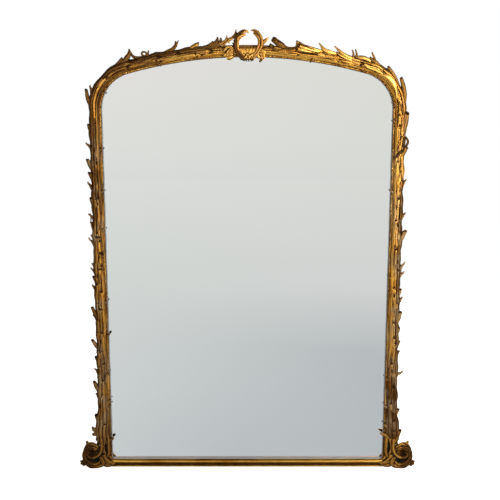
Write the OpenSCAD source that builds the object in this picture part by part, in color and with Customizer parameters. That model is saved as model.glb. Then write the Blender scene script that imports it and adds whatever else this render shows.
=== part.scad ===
// Overmantel mirror: a pine carcass with a flat arched top, faced with carved and gilded
// branches, standing on scrolled feet and crowned by an open ring of two boughs.
// Millimetres. X to the right, Y to the wall, Z up. The origin is the middle of the
// bottom rail's underside, half way through the carcass.

/* [Looking glass] */
// Width of the opening that the glass shows through
sight_w = 1115; // [950:5:1300]
// Height of the opening from the bottom rail to the top of the arch
sight_h = 1615; // [1400:5:1800]
// Radius of the flat arch
crown_r = 1700; // [1500:10:2200]
// Radius of the shoulders between the arch and the posts
shoulder_r = 140; // [115:5:180]
// Thickness of the silvered plate
glass_t = 6; // [4:0.5:7]
// How far the plate reaches in behind the lip at the posts and the arch
plate_lap = 6; // [4:0.5:7]

/* [Pine carcass] */
// Height of the bottom rail
rail_h = 31; // [26:1:40]
// Width of the posts and of the arched members
carcass_w = 45; // [42:1:47]
// Depth of the posts and of the arched members
carcass_d = 32; // [30:1:40]
// Thickness of the lip that stands in front of the glass
lip_t = 8; // [6:0.5:9]
// Width of the rebate that the glass is let into
rebate_w = 9; // [8:0.5:11]
// Length of the half laps that join the members
lap_l = 60; // [45:1:80]
// Diameter of the dowels that pin the half laps
dowel_d = 8; // [6:0.5:10]

/* [Backboards] */
// Thickness of the backboards
board_t = 8; // [6:0.5:10]
// How far the backboards lie on the carcass beyond the rebate
board_lap = 12; // [10:0.5:13]
// Width of the shiplap between two boards
shiplap_w = 8; // [5:0.5:12]
// Diameter of the brads that hold the boards
brad_d = 2; // [1.5:0.1:2.5]

/* [Gilded mouldings] */
// Width of the round bead along the glass
bead_w = 10; // [8:0.5:12]
// How far the bead stands out of the carcass
bead_h = 8; // [6:0.5:9]
// How far the bottom moulding stands out of the carcass
moulding_d = 14; // [12:0.5:16]

/* [Branches] */
// Width of the carved trunks, from the bead to the outer edge
trunk_w = 39; // [34:1:46]
// How far the trunks stand out of the carcass
trunk_d = 26; // [22:1:30]
// How much wider the trunks grow towards the feet
root_flare = 10; // [4:1:14]
// How deep the grooves of the bark are cut, as a share of the trunk's depth
bark = 0.09; // [0.04:0.01:0.12]

/* [Feet] */
// Height at which the trunks rise out of the feet
foot_h = 112; // [108:1:120]
// Radius of the scroll
scroll_r = 27; // [24:1:29]
// How far the middle of the scroll lies outside the opening
scroll_u = 90; // [86:1:96]
// Height of the middle of the scroll
scroll_z = 63; // [60:1:66]
// Thickness of the pine block behind the scroll
foot_block_t = 22; // [16:1:26]

/* [Crest] */
// Outer diameter of the ring that the two crest branches form
ring_d = 108; // [96:1:116]
// Thickness of the crest branches
crest_branch_w = 15; // [12:0.5:17]
// Depth of the flat that the crest is seated on
seat_d = 14; // [12:0.5:16]
// Depth of the crest branches in front of that flat
crest_d = 15; // [12:0.5:18]

/* [Hangers] */
// How far below the top of the opening the hanging rings are hinged
hang_drop = 396; // [300:2:600]
// Diameter of the ring's wire
ring_wire_d = 4; // [3:0.1:4.4]
// Width of the strap
strap_w = 13; // [11:0.5:14]
// Length of the strap below the hinge
strap_l = 62; // [56:1:80]
// Thickness of the strap
strap_t = 1.4; // [1.2:0.1:1.6]
// Diameter of the hanger screws
screw_d = 3.8; // [3:0.1:4.2]

/* [Hidden] */

board_n = 8;
big = 4000;
// Clearances
seam = 0.3; // between a carving and the bead beside it
joint_gap = 0.1; // round a dowel, brad or screw
board_gap = 1; // between two backboards
hinge_gap = 0.08; // round the ring's bar
// Planes, from the front to the back
face_y = -carcass_d / 2;
back_y = carcass_d / 2;
lip_y = face_y + lip_t;
glass_back_y = lip_y + glass_t;
seat_y = face_y - seat_d;
// The arch
sight_top = rail_h + sight_h;
crown_z = sight_top - crown_r;
shoulder_x = sight_w / 2 - shoulder_r;
arch_angle = asin(shoulder_x / (crown_r - shoulder_r));
spring_z = crown_z + (crown_r - shoulder_r) * cos(arch_angle);
hang_z = sight_top - hang_drop;
lap_angle = lap_l / crown_r * 180 / PI;
// Lengths along the edge of the opening
post_l = spring_z - rail_h;
shoulder_l = shoulder_r * (90 - arch_angle) * PI / 180;
crown_l = crown_r * arch_angle * PI / 180;
bough_l = shoulder_l + crown_l;
whole_l = post_l + bough_l;

PINE = [0.72, 0.56, 0.36];
GILT = [0.78, 0.55, 0.18];
GLASS = [0.84, 0.86, 0.86];
STEEL = [0.55, 0.55, 0.56];
BRASS = [0.80, 0.66, 0.36];

// ---------- outlines in the plane of the frame, X across and Z up ----------

module plank(y0, y1) {
  translate([0, y1, 0])
    rotate([90, 0, 0])
      linear_extrude(y1 - y0)
        children();
}

// The part of the plane within an angle of the arch's axis
module wedge_2d(angle) {
  polygon([
    [0, crown_z],
    [-big * sin(angle), crown_z + big * cos(angle)],
    [big * sin(angle), crown_z + big * cos(angle)]]);
}

// The outline of the opening grown by d, from z0 up
module arch_2d(d, z0 = 0) {
  intersection() {
    translate([0, crown_z])
      circle(crown_r + d, $fn = 720);
    wedge_2d(arch_angle);
    translate([-big / 2, spring_z])
      square([big, big]);
  }
  for (side = [-1, 1])
    translate([side * shoulder_x, spring_z])
      circle(shoulder_r + d, $fn = 180);
  translate([-sight_w / 2 - d, z0])
    square([sight_w + 2 * d, spring_z - z0]);
}

module band_2d(d0, d1) {
  difference() {
    arch_2d(d1);
    arch_2d(d0, -1);
  }
}

module above_2d(z0, z1 = big) {
  translate([0, z0])
    square([big, z1 - z0]);
}

// ---------- places along the edge of the opening ----------

// Across and up, for a length s from the rail along the right-hand edge and u outwards from it
function edge_xz(s, u) =
  s <= post_l ? [sight_w / 2 + u, rail_h + s] :
  s <= post_l + shoulder_l ?
    let (turn = (s - post_l) / shoulder_r * 180 / PI)
    [shoulder_x + (shoulder_r + u) * cos(turn), spring_z + (shoulder_r + u) * sin(turn)] :
  let (lean = arch_angle - (s - post_l - shoulder_l) / crown_r * 180 / PI)
  [(crown_r + u) * sin(lean), crown_z + (crown_r + u) * cos(lean)];

function on_edge(s, u, y) =
  let (p = edge_xz(s, u))
  [p[0], y, p[1]];

// The same beside a foot, where u counts from the opening and z from the shelf
function at_foot(u, y, z) = [sight_w / 2 + u, y, z];

// 1 near a, falling smoothly to 0 at b
function ease(x, a, b) =
  let (t = min(1, max(0, (x - b) / (a - b))))
  t * t * (3 - 2 * t);

// ---------- pine carcass ----------

// A member of the carcass: the first child is its span in the front half of the depth,
// the second its span in the back half, so that two members halve together
module member() {
  plank(face_y, lip_y)
    intersection() {
      band_2d(0, carcass_w);
      children(0);
    }
  plank(lip_y, 0)
    intersection() {
      band_2d(rebate_w, carcass_w);
      children(0);
    }
  plank(0, back_y)
    intersection() {
      band_2d(rebate_w, carcass_w);
      children(1);
    }
}

dowel_u = (rebate_w + carcass_w) / 2;
dowel_half_l = carcass_d * 0.32;
dowel_inset = lap_l / 4;
post_lap_s = [post_l - lap_l + dowel_inset, post_l - dowel_inset];
crown_lap_s = [post_l + shoulder_l + dowel_inset, post_l + shoulder_l + lap_l - dowel_inset];

module pin_at(s, u, d, y0, y1) {
  translate(on_edge(s, u, y1))
    rotate([90, 0, 0])
      cylinder(d = d, h = y1 - y0, $fn = 24);
}

module lap_pins(places, d) {
  for (s = places)
    pin_at(s, dowel_u, d, -dowel_half_l, dowel_half_l);
}

module foot_lap_pin(d) {
  translate([sight_w / 2 + dowel_u, dowel_half_l, (rail_h - rebate_w) / 2])
    rotate([90, 0, 0])
      cylinder(d = d, h = 2 * dowel_half_l, $fn = 24);
}

// Brads along the edges of the boards, two to a board and side, and some round the arch
brad_u = rebate_w + board_lap / 2;
brad_l = 22;
board_z0 = rail_h - rebate_w - board_lap;
board_top = sight_top + rebate_w + board_lap;
board_w = (board_top - board_z0) / board_n;
post_brads = [for (i = [0:board_n - 2], f = [0.25, 0.75]) board_z0 + board_w * (i + f) - rail_h];
shoulder_brads = [for (f = [0.25, 0.75]) post_l + shoulder_l * f];
crown_brads = [for (f = [0.25, 0.6, 0.93]) post_l + shoulder_l + crown_l * f];
rail_brads = [for (i = [-2:2]) i * sight_w / 5];

module brads(places, d) {
  for (s = places)
    pin_at(s, brad_u, d, back_y + board_t - brad_l, back_y + board_t);
}

module rail_brad_pins(d) {
  for (x = rail_brads)
    translate([x, back_y + board_t, board_z0 + board_lap / 2])
      rotate([90, 0, 0])
        cylinder(d = d, h = brad_l, $fn = 24);
}

module stile() {
  color(PINE)
    difference() {
      member() {
        above_2d(0, spring_z - lap_l);
        above_2d(rail_h - rebate_w, spring_z);
      }
      lap_pins(post_lap_s, dowel_d + joint_gap);
      foot_lap_pin(dowel_d + joint_gap);
      brads(post_brads, brad_d + joint_gap);
      hanger_holes(screw_d + joint_gap);
    }
}

module haunch() {
  color(PINE)
    difference() {
      member() {
        difference() {
          above_2d(spring_z - lap_l);
          wedge_2d(arch_angle - lap_angle);
        }
        difference() {
          above_2d(spring_z);
          wedge_2d(arch_angle);
        }
      }
      lap_pins(concat(post_lap_s, crown_lap_s), dowel_d + joint_gap);
      brads(shoulder_brads, brad_d + joint_gap);
    }
}

module crown_rail() {
  color(PINE)
    difference() {
      member() {
        wedge_2d(arch_angle - lap_angle);
        wedge_2d(arch_angle);
      }
      for (side = [0, 1])
        mirror([side, 0, 0]) {
          lap_pins(crown_lap_s, dowel_d + joint_gap);
          brads(crown_brads, brad_d + joint_gap);
        }
    }
}

module bar(half_l, y0, y1, z1) {
  translate([-half_l, y0, 0])
    cube([2 * half_l, y1 - y0, z1]);
}

module bottom_rail() {
  color(PINE)
    difference() {
      union() {
        bar(sight_w / 2, face_y, lip_y, rail_h);
        bar(sight_w / 2 + rebate_w, lip_y, 0, rail_h - rebate_w);
        bar(sight_w / 2 + carcass_w, 0, back_y, rail_h - rebate_w);
      }
      for (side = [0, 1])
        mirror([side, 0, 0])
          foot_lap_pin(dowel_d + joint_gap);
      rail_brad_pins(brad_d + joint_gap);
    }
}

module lap_dowels() {
  color(PINE * 0.9)
    for (side = [0, 1])
      mirror([side, 0, 0]) {
        lap_pins(concat(post_lap_s, crown_lap_s), dowel_d);
        foot_lap_pin(dowel_d);
      }
}

// ---------- glass and back ----------

module mirror_plate() {
  color(GLASS)
    plank(lip_y, glass_back_y)
      arch_2d(plate_lap, rail_h - rebate_w);
}

// A three-cornered block that holds the plate in the rebate
block_l = 60;
block_w = rebate_w + 3;
block_h = back_y - glass_back_y - 2;

module glazing_block() {
  translate([0, glass_back_y, -block_l / 2])
    linear_extrude(block_l)
      polygon([[0, 0], [-block_w, 0], [0, block_h]]);
}

module glazing_blocks() {
  color(PINE * 0.85) {
    for (side = [0, 1])
      mirror([side, 0, 0]) {
        for (f = [0.06, 0.25, 0.44, 0.63, 0.82])
          translate([sight_w / 2 + rebate_w, 0, rail_h + post_l * f])
            glazing_block();
        for (f = [0.3, 0.75])
          let (lean = arch_angle * (1 - f))
          translate([0, 0, crown_z])
            rotate([0, lean - 90, 0])
              translate([crown_r + rebate_w - seam, 0, 0])
                glazing_block();
      }
    for (x = [-0.36, -0.12, 0.12, 0.36])
      translate([sight_w * x, 0, rail_h - rebate_w])
        rotate([0, 90, 0])
          glazing_block();
  }
}

// Board i, counted from the bottom: its front half is butted to the next board, its back
// half is set down by the shiplap
module backboard(i) {
  z0 = board_z0 + (i - 1) * board_w;
  z1 = i == board_n ? big : z0 + board_w - board_gap;
  low = i == 1 ? 0 : shiplap_w;
  high = i == board_n ? 0 : shiplap_w;
  color(PINE * (i % 2 == 0 ? 0.95 : 1.0))
    difference() {
      union() {
        plank(back_y, back_y + board_t / 2)
          board_2d(z0, z1);
        plank(back_y + board_t / 2, back_y + board_t)
          board_2d(z0 - low, z1 - high);
      }
      for (side = [0, 1])
        mirror([side, 0, 0])
          if (i == board_n) {
            brads(concat(shoulder_brads, crown_brads), brad_d + joint_gap);
          } else {
            brads([post_brads[2 * i - 2], post_brads[2 * i - 1]], brad_d + joint_gap);
          }
      if (i == 1)
        rail_brad_pins(brad_d + joint_gap);
    }
}

module board_2d(z0, z1) {
  intersection() {
    arch_2d(rebate_w + board_lap);
    translate([-big / 2, z0])
      square([big, z1 - z0]);
  }
}

module backboard_brads() {
  color(STEEL) {
    for (side = [0, 1])
      mirror([side, 0, 0])
        brads(concat(post_brads, shoulder_brads, crown_brads), brad_d);
    rail_brad_pins(brad_d);
  }
}

// ---------- gilded mouldings ----------

bead_r = bead_w / 2;

// The bead's section: x outwards from the opening, y out of the carcass
module bead_2d() {
  square([bead_w, bead_h - bead_r]);
  intersection() {
    translate([bead_r, bead_h - bead_r])
      circle(bead_r, $fn = 32);
    square([bead_w, bead_h]);
  }
}

module side_bead() {
  color(GILT)
    translate([sight_w / 2, face_y, rail_h])
      linear_extrude(post_l)
        mirror([0, 1])
          bead_2d();
}

module bent_bead(x, z, r, from, turn) {
  color(GILT)
    translate([x, face_y, z])
      rotate([90, 0, 0])
        rotate([0, 0, from])
          rotate_extrude(angle = turn, $fn = 360)
            translate([r, 0])
              bead_2d();
}

module shoulder_bead() {
  bent_bead(shoulder_x, spring_z, shoulder_r, 0, 90 - arch_angle);
}

module crown_bead() {
  bent_bead(0, crown_z, crown_r, 90 - arch_angle, 2 * arch_angle);
}

// Section of the bottom moulding, x out of the carcass and y up: a bead over a hollow
moulding_bead_r = 6;
hollow_r = 8;
plinth_h = 4;

module moulding_2d() {
  square([moulding_d - 2 * moulding_bead_r + 4, rail_h]);
  translate([moulding_d - moulding_bead_r, rail_h - moulding_bead_r - 2])
    circle(moulding_bead_r, $fn = 32);
  difference() {
    square([moulding_d - 3, rail_h - moulding_bead_r - 2]);
    translate([moulding_d, plinth_h + hollow_r])
      circle(hollow_r, $fn = 32);
    translate([moulding_d - hollow_r / 2, plinth_h + hollow_r])
      square([hollow_r, hollow_r]);
  }
}

module bottom_moulding() {
  color(GILT)
    translate([-sight_w / 2, face_y, 0])
      rotate([90, 0, 90])
        linear_extrude(sight_w)
          mirror([1, 0])
            moulding_2d();
}

// ---------- carving ----------

// A closed skin through rings of points that all have the same count
module loft(rings) {
  n = len(rings[0]);
  last = (len(rings) - 1) * n;
  sides = [
    for (i = [0:len(rings) - 2], j = [0:n - 1])
      let (a = i * n + j, b = i * n + (j + 1) % n)
      each [[a, b, b + n], [a, b + n, a + n]]];
  ends = [[for (j = [n - 1:-1:0]) j], [for (j = [0:n - 1]) last + j]];
  polyhedron([for (ring = rings) each ring], concat(sides, ends));
}

// A smooth row of values through rows that are given
function spline(rows, steps) = [
  for (i = [0:len(rows) - 2], k = [0:steps - 1])
    let (
      a = rows[max(i - 1, 0)],
      b = rows[i],
      c = rows[i + 1],
      d = rows[min(i + 2, len(rows) - 1)],
      t = k / steps)
    (2 * b + (c - a) * t + (2 * a - 5 * b + 4 * c - d) * t * t
      + (3 * b - a - 3 * c + d) * t * t * t) / 2,
  rows[len(rows) - 1]];

// A carved branch through rows of [x, y, z, half its width, half its depth]; nothing of it
// lies behind the plane back
module branch(rows, back, sides = 8, steps = 3) {
  path = spline(rows, steps);
  last = len(path) - 1;
  loft([
    for (i = [0:last])
      let (
        here = path[i],
        ahead = path[min(i + 1, last)] - path[max(i - 1, 0)],
        across = [-ahead[2], ahead[0]] / norm([ahead[0], ahead[2]]))
      [for (j = [0:sides - 1])
        let (a = 360 * (j + 0.5) / sides)
        [here[0] + across[0] * here[3] * cos(a),
          min(back, here[1] + here[4] * sin(a)),
          here[2] + across[1] * here[3] * cos(a)]]]);
}

// A broken stub or thorn between two points
module thorn(root, tip, r, tip_r = 1.2) {
  hull() {
    translate(root)
      sphere(r, $fn = 6);
    translate(tip)
      sphere(tip_r, $fn = 6);
  }
}

// The trunk's outer edge and its depth, for a length s along the opening
seat_half_w = 92;
function at_seat(s) = ease(s, whole_l - seat_half_w, whole_l - seat_half_w - 30);
function trunk_out(s) =
  bead_w + trunk_w + root_flare * pow(max(0, 1 - s / 620), 1.6) - 7 * at_seat(s);
function trunk_deep(s) = trunk_d + 1.5 * sin(360 * s / 210) - (trunk_d - seat_d) * at_seat(s);

// A cross-section of the trunk: flat behind, and grooved like bark in front
bark_points = 11;
function trunk_ring(s, phase) =
  let (
    inner = bead_w + seam,
    outer = trunk_out(s) + 1.8 * sin(360 * s / 130 + phase) + 1.2 * sin(360 * s / 57 + 2 * phase),
    half = (outer - inner) / 2,
    groove = bark * (1 - at_seat(s)))
  [for (j = [0:bark_points - 1])
    let (
      a = 180 * j / (bark_points - 1),
      side = sign(cos(a)) * pow(abs(cos(a)), 0.85),
      swell = 1 - groove + groove * cos(7 * a + 360 * s / 300 + phase))
    on_edge(s, inner + half * (1 + side), face_y - trunk_deep(s) * swell * pow(sin(a), 0.5))];

function steps_between(a, b, step) =
  let (n = ceil((b - a) / step))
  [for (i = [0:n]) a + (b - a) * i / n];

module trunk_loft(places, phase) {
  loft([for (s = places) trunk_ring(s, phase)]);
}

// Stubs on the outer edge. A row is the share of the length where the stub is rooted, how
// far its tip stands beyond the edge, how far the tip lies towards the crest, and its radius.
stub_root_y = face_y - 11;
stub_tip_y = face_y - 17;

module outer_stubs(rows, start, length) {
  for (row = rows)
    let (s = start + row[0] * length, out = trunk_out(s))
    thorn(
      on_edge(s, out - row[3], stub_root_y),
      on_edge(s + row[2], out + row[1], stub_tip_y),
      row[3] + 1, 1 + row[3] / 5);
}

// Stubs that reach over the bead and the glass: share, reach past the edge of the opening,
// rise and radius
module inner_stubs(rows, start, length) {
  for (row = rows)
    let (s = start + row[0] * length, y = face_y - bead_h - row[3] - 2)
    thorn(on_edge(s, bead_w + 13, y), on_edge(s + row[2], -row[1], y - 1), row[3], 1.4);
}

// A curl of vine that stands on the outer edge
module curl(s, u, r) {
  translate(on_edge(s, u, stub_tip_y))
    rotate([90, 0, 0])
      rotate_extrude($fn = 12)
        translate([r, 0])
          circle(2.6, $fn = 6);
  thorn(on_edge(s - r, u - r - 8, stub_root_y), on_edge(s, u - r, stub_tip_y), 4, 2.6);
}

LEFT_POST_STUBS = [
  [0.07, 15, 8, 5], [0.09, 14, 6, 4], [0.13, 4, 8, 8], [0.198, 3, 8, 4], [0.22, 13, 22, 7],
  [0.27, 7, 12, 4], [0.305, 4, 6, 6], [0.345, 22, 12, 7], [0.428, 8, 10, 4], [0.44, 14, 20, 6],
  [0.51, 9, 16, 5], [0.54, 4, 4, 6], [0.56, 10, 14, 4], [0.575, 5, 10, 4], [0.64, 14, 20, 4],
  [0.655, 4, 10, 4], [0.685, 8, 12, 5], [0.705, 14, 24, 7], [0.755, 3, 8, 7], [0.795, 10, 18, 5],
  [0.825, 6, 8, 7], [0.855, 12, 16, 5], [0.905, 5, 12, 5], [0.955, 3, 8, 6]];
LEFT_POST_INNER = [
  [0.06, 13, 12, 5], [0.165, 5, 8, 5], [0.18, 5, 12, 4], [0.262, 1, 8, 5], [0.37, 8, 16, 5],
  [0.47, 5, 10, 6], [0.675, 3, 10, 5], [0.78, 3, 10, 5], [0.895, 4, 12, 5]];
RIGHT_POST_STUBS = [
  [0.068, 18, 8, 6], [0.088, 13, 6, 5], [0.15, 4, 6, 6], [0.195, 3, 8, 5], [0.25, 12, 30, 7],
  [0.325, 4, 8, 7], [0.35, 9, 18, 5], [0.39, 3, 8, 6], [0.425, 7, 22, 8], [0.475, 7, 16, 5],
  [0.5, 3, 8, 6], [0.55, 12, 12, 5], [0.57, 13, 22, 5], [0.655, 15, 36, 8], [0.715, 8, 12, 5],
  [0.805, 7, 14, 4], [0.895, 12, 24, 5], [0.975, 14, 22, 7]];
RIGHT_POST_INNER = [
  [0.075, 16, 12, 6], [0.105, 5, 10, 5], [0.162, 3, 10, 5], [0.245, 4, 10, 5], [0.54, 1, 12, 5],
  [0.78, 6, 14, 5], [0.97, 1, 12, 5]];
LEFT_BOUGH_STUBS = [
  [0.05, 22, 20, 6], [0.09, 11, 10, 5], [0.235, 8, 8, 5], [0.27, 12, 10, 5], [0.3, 31, 28, 9],
  [0.33, 12, 18, 9], [0.435, 13, 5, 3], [0.575, 24, 14, 5], [0.59, 31, 17, 4], [0.66, 11, 34, 7],
  [0.78, 24, 30, 7], [0.81, 18, 16, 5]];
RIGHT_BOUGH_STUBS = [
  [0.06, 18, 42, 8], [0.135, 16, 44, 8], [0.27, 31, 11, 5], [0.375, 28, 9, 4], [0.388, 22, 12, 4],
  [0.435, 22, 46, 8], [0.55, 23, 30, 7], [0.655, 23, 44, 10], [0.8, 34, 28, 10],
  [0.855, 10, 8, 6]];

module trunk(phase, outer, inner) {
  color(GILT) {
    trunk_loft(steps_between(foot_h - rail_h, post_l, 33), phase);
    outer_stubs(outer, 0, post_l);
    inner_stubs(inner, 0, post_l);
  }
}

module bough(phase, outer, inner) {
  color(GILT) {
    trunk_loft(
      concat(
        steps_between(post_l, post_l + shoulder_l, 16),
        [for (s = steps_between(post_l + shoulder_l, whole_l, 27)) if (s > post_l + shoulder_l) s]),
      phase);
    outer_stubs(outer, post_l, bough_l);
    inner_stubs(inner, post_l, bough_l);
    children();
  }
}

// ---------- feet ----------

foot_d = foot_h * 0.32; // how far the scroll stands out of the carcass
strap_u = bead_w + trunk_w - 9; // middle of the strap that comes down out of the trunk
sole_y = face_y - 16;
foot_k = foot_h / 112; // leaf rows are measured on a foot 112 high

// Rows of [u, z, half its width, half its depth] as a branch that lies on the carcass's face
module foot_branch(rows, steps = 3) {
  branch([for (row = rows)
    concat(at_foot(row[0], face_y - row[3], row[1]), [row[2], row[3]])], face_y, 8, steps);
}

module foot_scroll() {
  r = scroll_r;
  h = foot_d / 2;
  foot_branch([
    [strap_u, foot_h + 1, 20, h - 5], [strap_u, foot_h - 26, 12, h - 4],
    [strap_u, scroll_z, 10, h - 3], [scroll_u - 1.35 * r, scroll_z - 0.75 * r, 9, h - 2],
    [scroll_u - 0.4 * r, scroll_z - r, 8, h - 1], [scroll_u + 0.6 * r, scroll_z - 0.7 * r, 8, h],
    [scroll_u + r, scroll_z, 7.5, h], [scroll_u + 0.7 * r, scroll_z + 0.75 * r, 7.5, h],
    [scroll_u, scroll_z + r, 7, h], [scroll_u - 0.65 * r, scroll_z + 0.7 * r, 6, h - 1],
    [scroll_u - 0.65 * r, scroll_z + 0.1 * r, 4.5, h - 3],
    [scroll_u - 0.1 * r, scroll_z - 0.3 * r, 4, h - 4], [scroll_u + 0.2 * r, scroll_z, 4, h - 4]], 2);
}

module foot_base() {
  foot_branch(foot_k * [
    [122, 34, 4, 9], [114, 22, 8, 12], [94, 11, 9, 15], [66, 9, 9, 16], [38, 10, 9, 15],
    [2, 14, 10, 12]], 2);
}

module foot_inner_leaf() {
  foot_branch(foot_k * [
    [27, 30, 7, 8], [21, 50, 9, 11], [20, 74, 9.2, 13], [22, 96, 10, 12], [28, 112, 14, 10]], 2);
}

// Leaf tips round the foot: root across and up, tip across and up, radius
FOOT_TIPS = [
  [112, 34, 131, 27, 7], [108, 20, 122, 9, 7], [103, 84, 105, 107, 5], [88, 90, 82, 102, 5],
  [74, 86, 60, 82, 5], [94, 60, 96, 62, 7], [60, 30, 30, 22, 9], [40, 30, 10, 26, 9],
  [12, 36, -20, 27, 5], [14, 46, 2, 40, 6]];

module foot() {
  color(GILT)
    difference() {
      union() {
        foot_scroll();
        foot_base();
        foot_inner_leaf();
        for (tip = foot_k * FOOT_TIPS)
          thorn(at_foot(tip[0], sole_y - 5, tip[1]), at_foot(tip[2], sole_y - 7, tip[3]), tip[4], 2);
      }
      // Flat sole, back and top, and room for the bead and the bottom moulding
      translate([0, -big / 2, -big])
        cube([big, big, big]);
      translate([0, face_y, -1])
        cube([big, big, big]);
      translate([0, -big / 2, foot_h])
        cube([big, big, big]);
      translate([0, face_y - moulding_d - seam, -1])
        cube([sight_w / 2, big, rail_h + seam + 1]);
      translate([0, face_y - bead_h - seam, rail_h])
        cube([sight_w / 2 + bead_w + seam, big, big]);
    }
}

module foot_block() {
  color(PINE * 0.9)
    plank(face_y, face_y + foot_block_t)
      difference() {
        translate([sight_w / 2, 0])
          union() {
            translate([scroll_u, scroll_z])
              circle(scroll_r + 3, $fn = 64);
            translate([scroll_u, scroll_z / 2 + 3])
              circle(scroll_r - 1, $fn = 64);
            translate([carcass_w - 1, 3])
              square([scroll_u - carcass_w, scroll_z]);
          }
        translate([0, -1])
          square([sight_w / 2 + carcass_w, big]);
      }
}

// ---------- crest ----------

ring_r = (ring_d - crest_branch_w) / 2;
ring_x = 4;
ring_z = sight_top + 47;
crest_y = seat_y - crest_d / 2;

// A point on the ring, by its angle from straight down, clockwise towards the left
function on_ring(a, w, out = 0) = [
  ring_x - (ring_r + out) * sin(a), crest_y, ring_z - (ring_r + out) * cos(a),
  w / 2, crest_d / 2];

module crest_left_branch() {
  w = crest_branch_w;
  color(GILT) {
    branch([for (a = [26, 60, 95, 130, 155, 176])
      on_ring(a, a > 170 ? 4 : w * (a > 150 ? 0.7 : 1))], seat_y);
    // Second, torn tip under the first
    branch([on_ring(112, w * 0.7, -2), on_ring(138, w * 0.6, -9), on_ring(166, 4, -17)], seat_y, 6);
    // Twig that comes over from the bough and ends in a spur
    branch([
      [-95, crest_y, sight_top + 43, 4, 5],
      [-76, crest_y, sight_top + 56, 5, 5.5],
      [-55, crest_y, sight_top + 66, 5, 5.5],
      [-44, crest_y, sight_top + 80, 4, 4.5],
      [-40, crest_y, sight_top + 99, 1.5, 2]], seat_y, 6);
    thorn([-72, crest_y, sight_top + 57], [-77, crest_y, sight_top + 73], 4);
    for (a = [38, 52, 70, 88, 104, 120, 140, 150])
      thorn(on_ring3(a, 3), on_ring3(a + 12, crest_branch_w / 2 + 2), 3);
  }
}

function on_ring3(a, out) =
  let (p = on_ring(a, 1, out))
  [p[0], p[1], p[2]];

module crest_right_branch() {
  w = crest_branch_w;
  color(GILT) {
    branch([for (a = [-34, -62, -95, -130, -155, -172])
      on_ring(a, a < -170 ? 4 : w * (a < -150 ? 0.75 : 1), a < -60 ? 2 : 0)], seat_y);
    branch([on_ring(-112, w * 0.7, -2), on_ring(-136, w * 0.6, -7), on_ring(-152, 4, -10)], seat_y, 6);
    branch([
      [ring_x + ring_r, crest_y, ring_z, 5, 5.5],
      [ring_x + ring_r + 13, crest_y, ring_z + 10, 5, 5],
      [ring_x + ring_r + 28, crest_y, ring_z + 24, 2, 2.5]], seat_y, 6);
    for (a = [-44, -56, -72, -86, -104, -120, -138, -150])
      thorn(on_ring3(a, 3), on_ring3(a - 12, crest_branch_w / 2 + 2), 3);
  }
}

// Berries and petals bunched where the two branches cross, with leaves that hang below
module crest_blossoms() {
  color(GILT)
    difference() {
      union() {
        for (a = [0:60:300])
          thorn([5, seat_y - 2, sight_top + 6],
            [5 + 11 * cos(a), seat_y - 13, sight_top + 5 + 9 * sin(a)], 5, 4);
        thorn([5, seat_y - 2, sight_top + 6], [5, seat_y - 17, sight_top + 5], 6, 5);
        for (x = [-12, -3, 8, 18])
          thorn([5 + x / 2, seat_y - 4, sight_top + 2], [x, seat_y - 9, sight_top - 13], 5, 3);
      }
      translate([-big / 2, seat_y, 0])
        cube([big, big, big]);
    }
}

// A curled leaf beside the ring, as lobes from [root x, z] to [tip x, z]
module crest_leaf(lobes) {
  color(GILT)
    difference() {
      union()
        for (lobe = lobes) {
          thorn([lobe[0], seat_y - 3, sight_top + lobe[1]],
            [(lobe[0] + lobe[2]) / 2, seat_y - 8, sight_top + (lobe[1] + lobe[3]) / 2], 5, 5);
          thorn([(lobe[0] + lobe[2]) / 2, seat_y - 8, sight_top + (lobe[1] + lobe[3]) / 2],
            [lobe[2], seat_y - 5, sight_top + lobe[3]], 5, 2);
        }
      translate([-big / 2, seat_y, 0])
        cube([big, big, big]);
    }
}

// ---------- hangers ----------

wire_r = ring_wire_d / 2;
eye_r = wire_r + hinge_gap + strap_t;
hinge_y = back_y + eye_r + seam;
hang_x = sight_w / 2 + (rebate_w + board_lap + carcass_w) / 2;
ring_half_w = strap_w / 2 + 0.5 + wire_r;
screw_z = [hang_z - strap_l * 0.45, hang_z - strap_l * 0.85];
screw_l = 22;

module hanger_holes(d) {
  for (z = screw_z)
    translate([hang_x, back_y + strap_t, z])
      rotate([90, 0, 0])
        cylinder(d = d, h = screw_l, $fn = 24);
}

module hanger_strap() {
  color(STEEL)
    translate([hang_x, 0, 0])
      difference() {
        union() {
          translate([-strap_w / 2, back_y, hang_z - strap_l])
            cube([strap_w, strap_t, strap_l]);
          translate([-strap_w / 2, hinge_y, hang_z])
            rotate([0, 90, 0])
              cylinder(r = eye_r, h = strap_w, $fn = 48);
        }
        translate([-strap_w, hinge_y, hang_z])
          rotate([0, 90, 0])
            cylinder(r = wire_r + hinge_gap, h = 2 * strap_w, $fn = 48);
        translate([-hang_x, 0, 0])
          hanger_holes(screw_d + 2 * joint_gap);
      }
}

module wire(from, length, axis) {
  translate(from)
    rotate(axis)
      cylinder(r = wire_r, h = length, $fn = 32);
}

module hanger_ring() {
  leg_l = 6;
  color(BRASS)
    translate([hang_x, hinge_y, hang_z]) {
      wire([-ring_half_w, 0, 0], 2 * ring_half_w, [0, 90, 0]);
      for (side = [-1, 1]) {
        translate([side * ring_half_w, 0, 0])
          sphere(wire_r, $fn = 32);
        wire([side * ring_half_w, 0, -leg_l], leg_l, [0, 0, 0]);
      }
      translate([0, 0, -leg_l])
        rotate([90, 0, 0])
          rotate([0, 0, 180])
            rotate_extrude(angle = 180, $fn = 64)
              translate([ring_half_w, 0])
                circle(wire_r, $fn = 32);
    }
}

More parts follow.
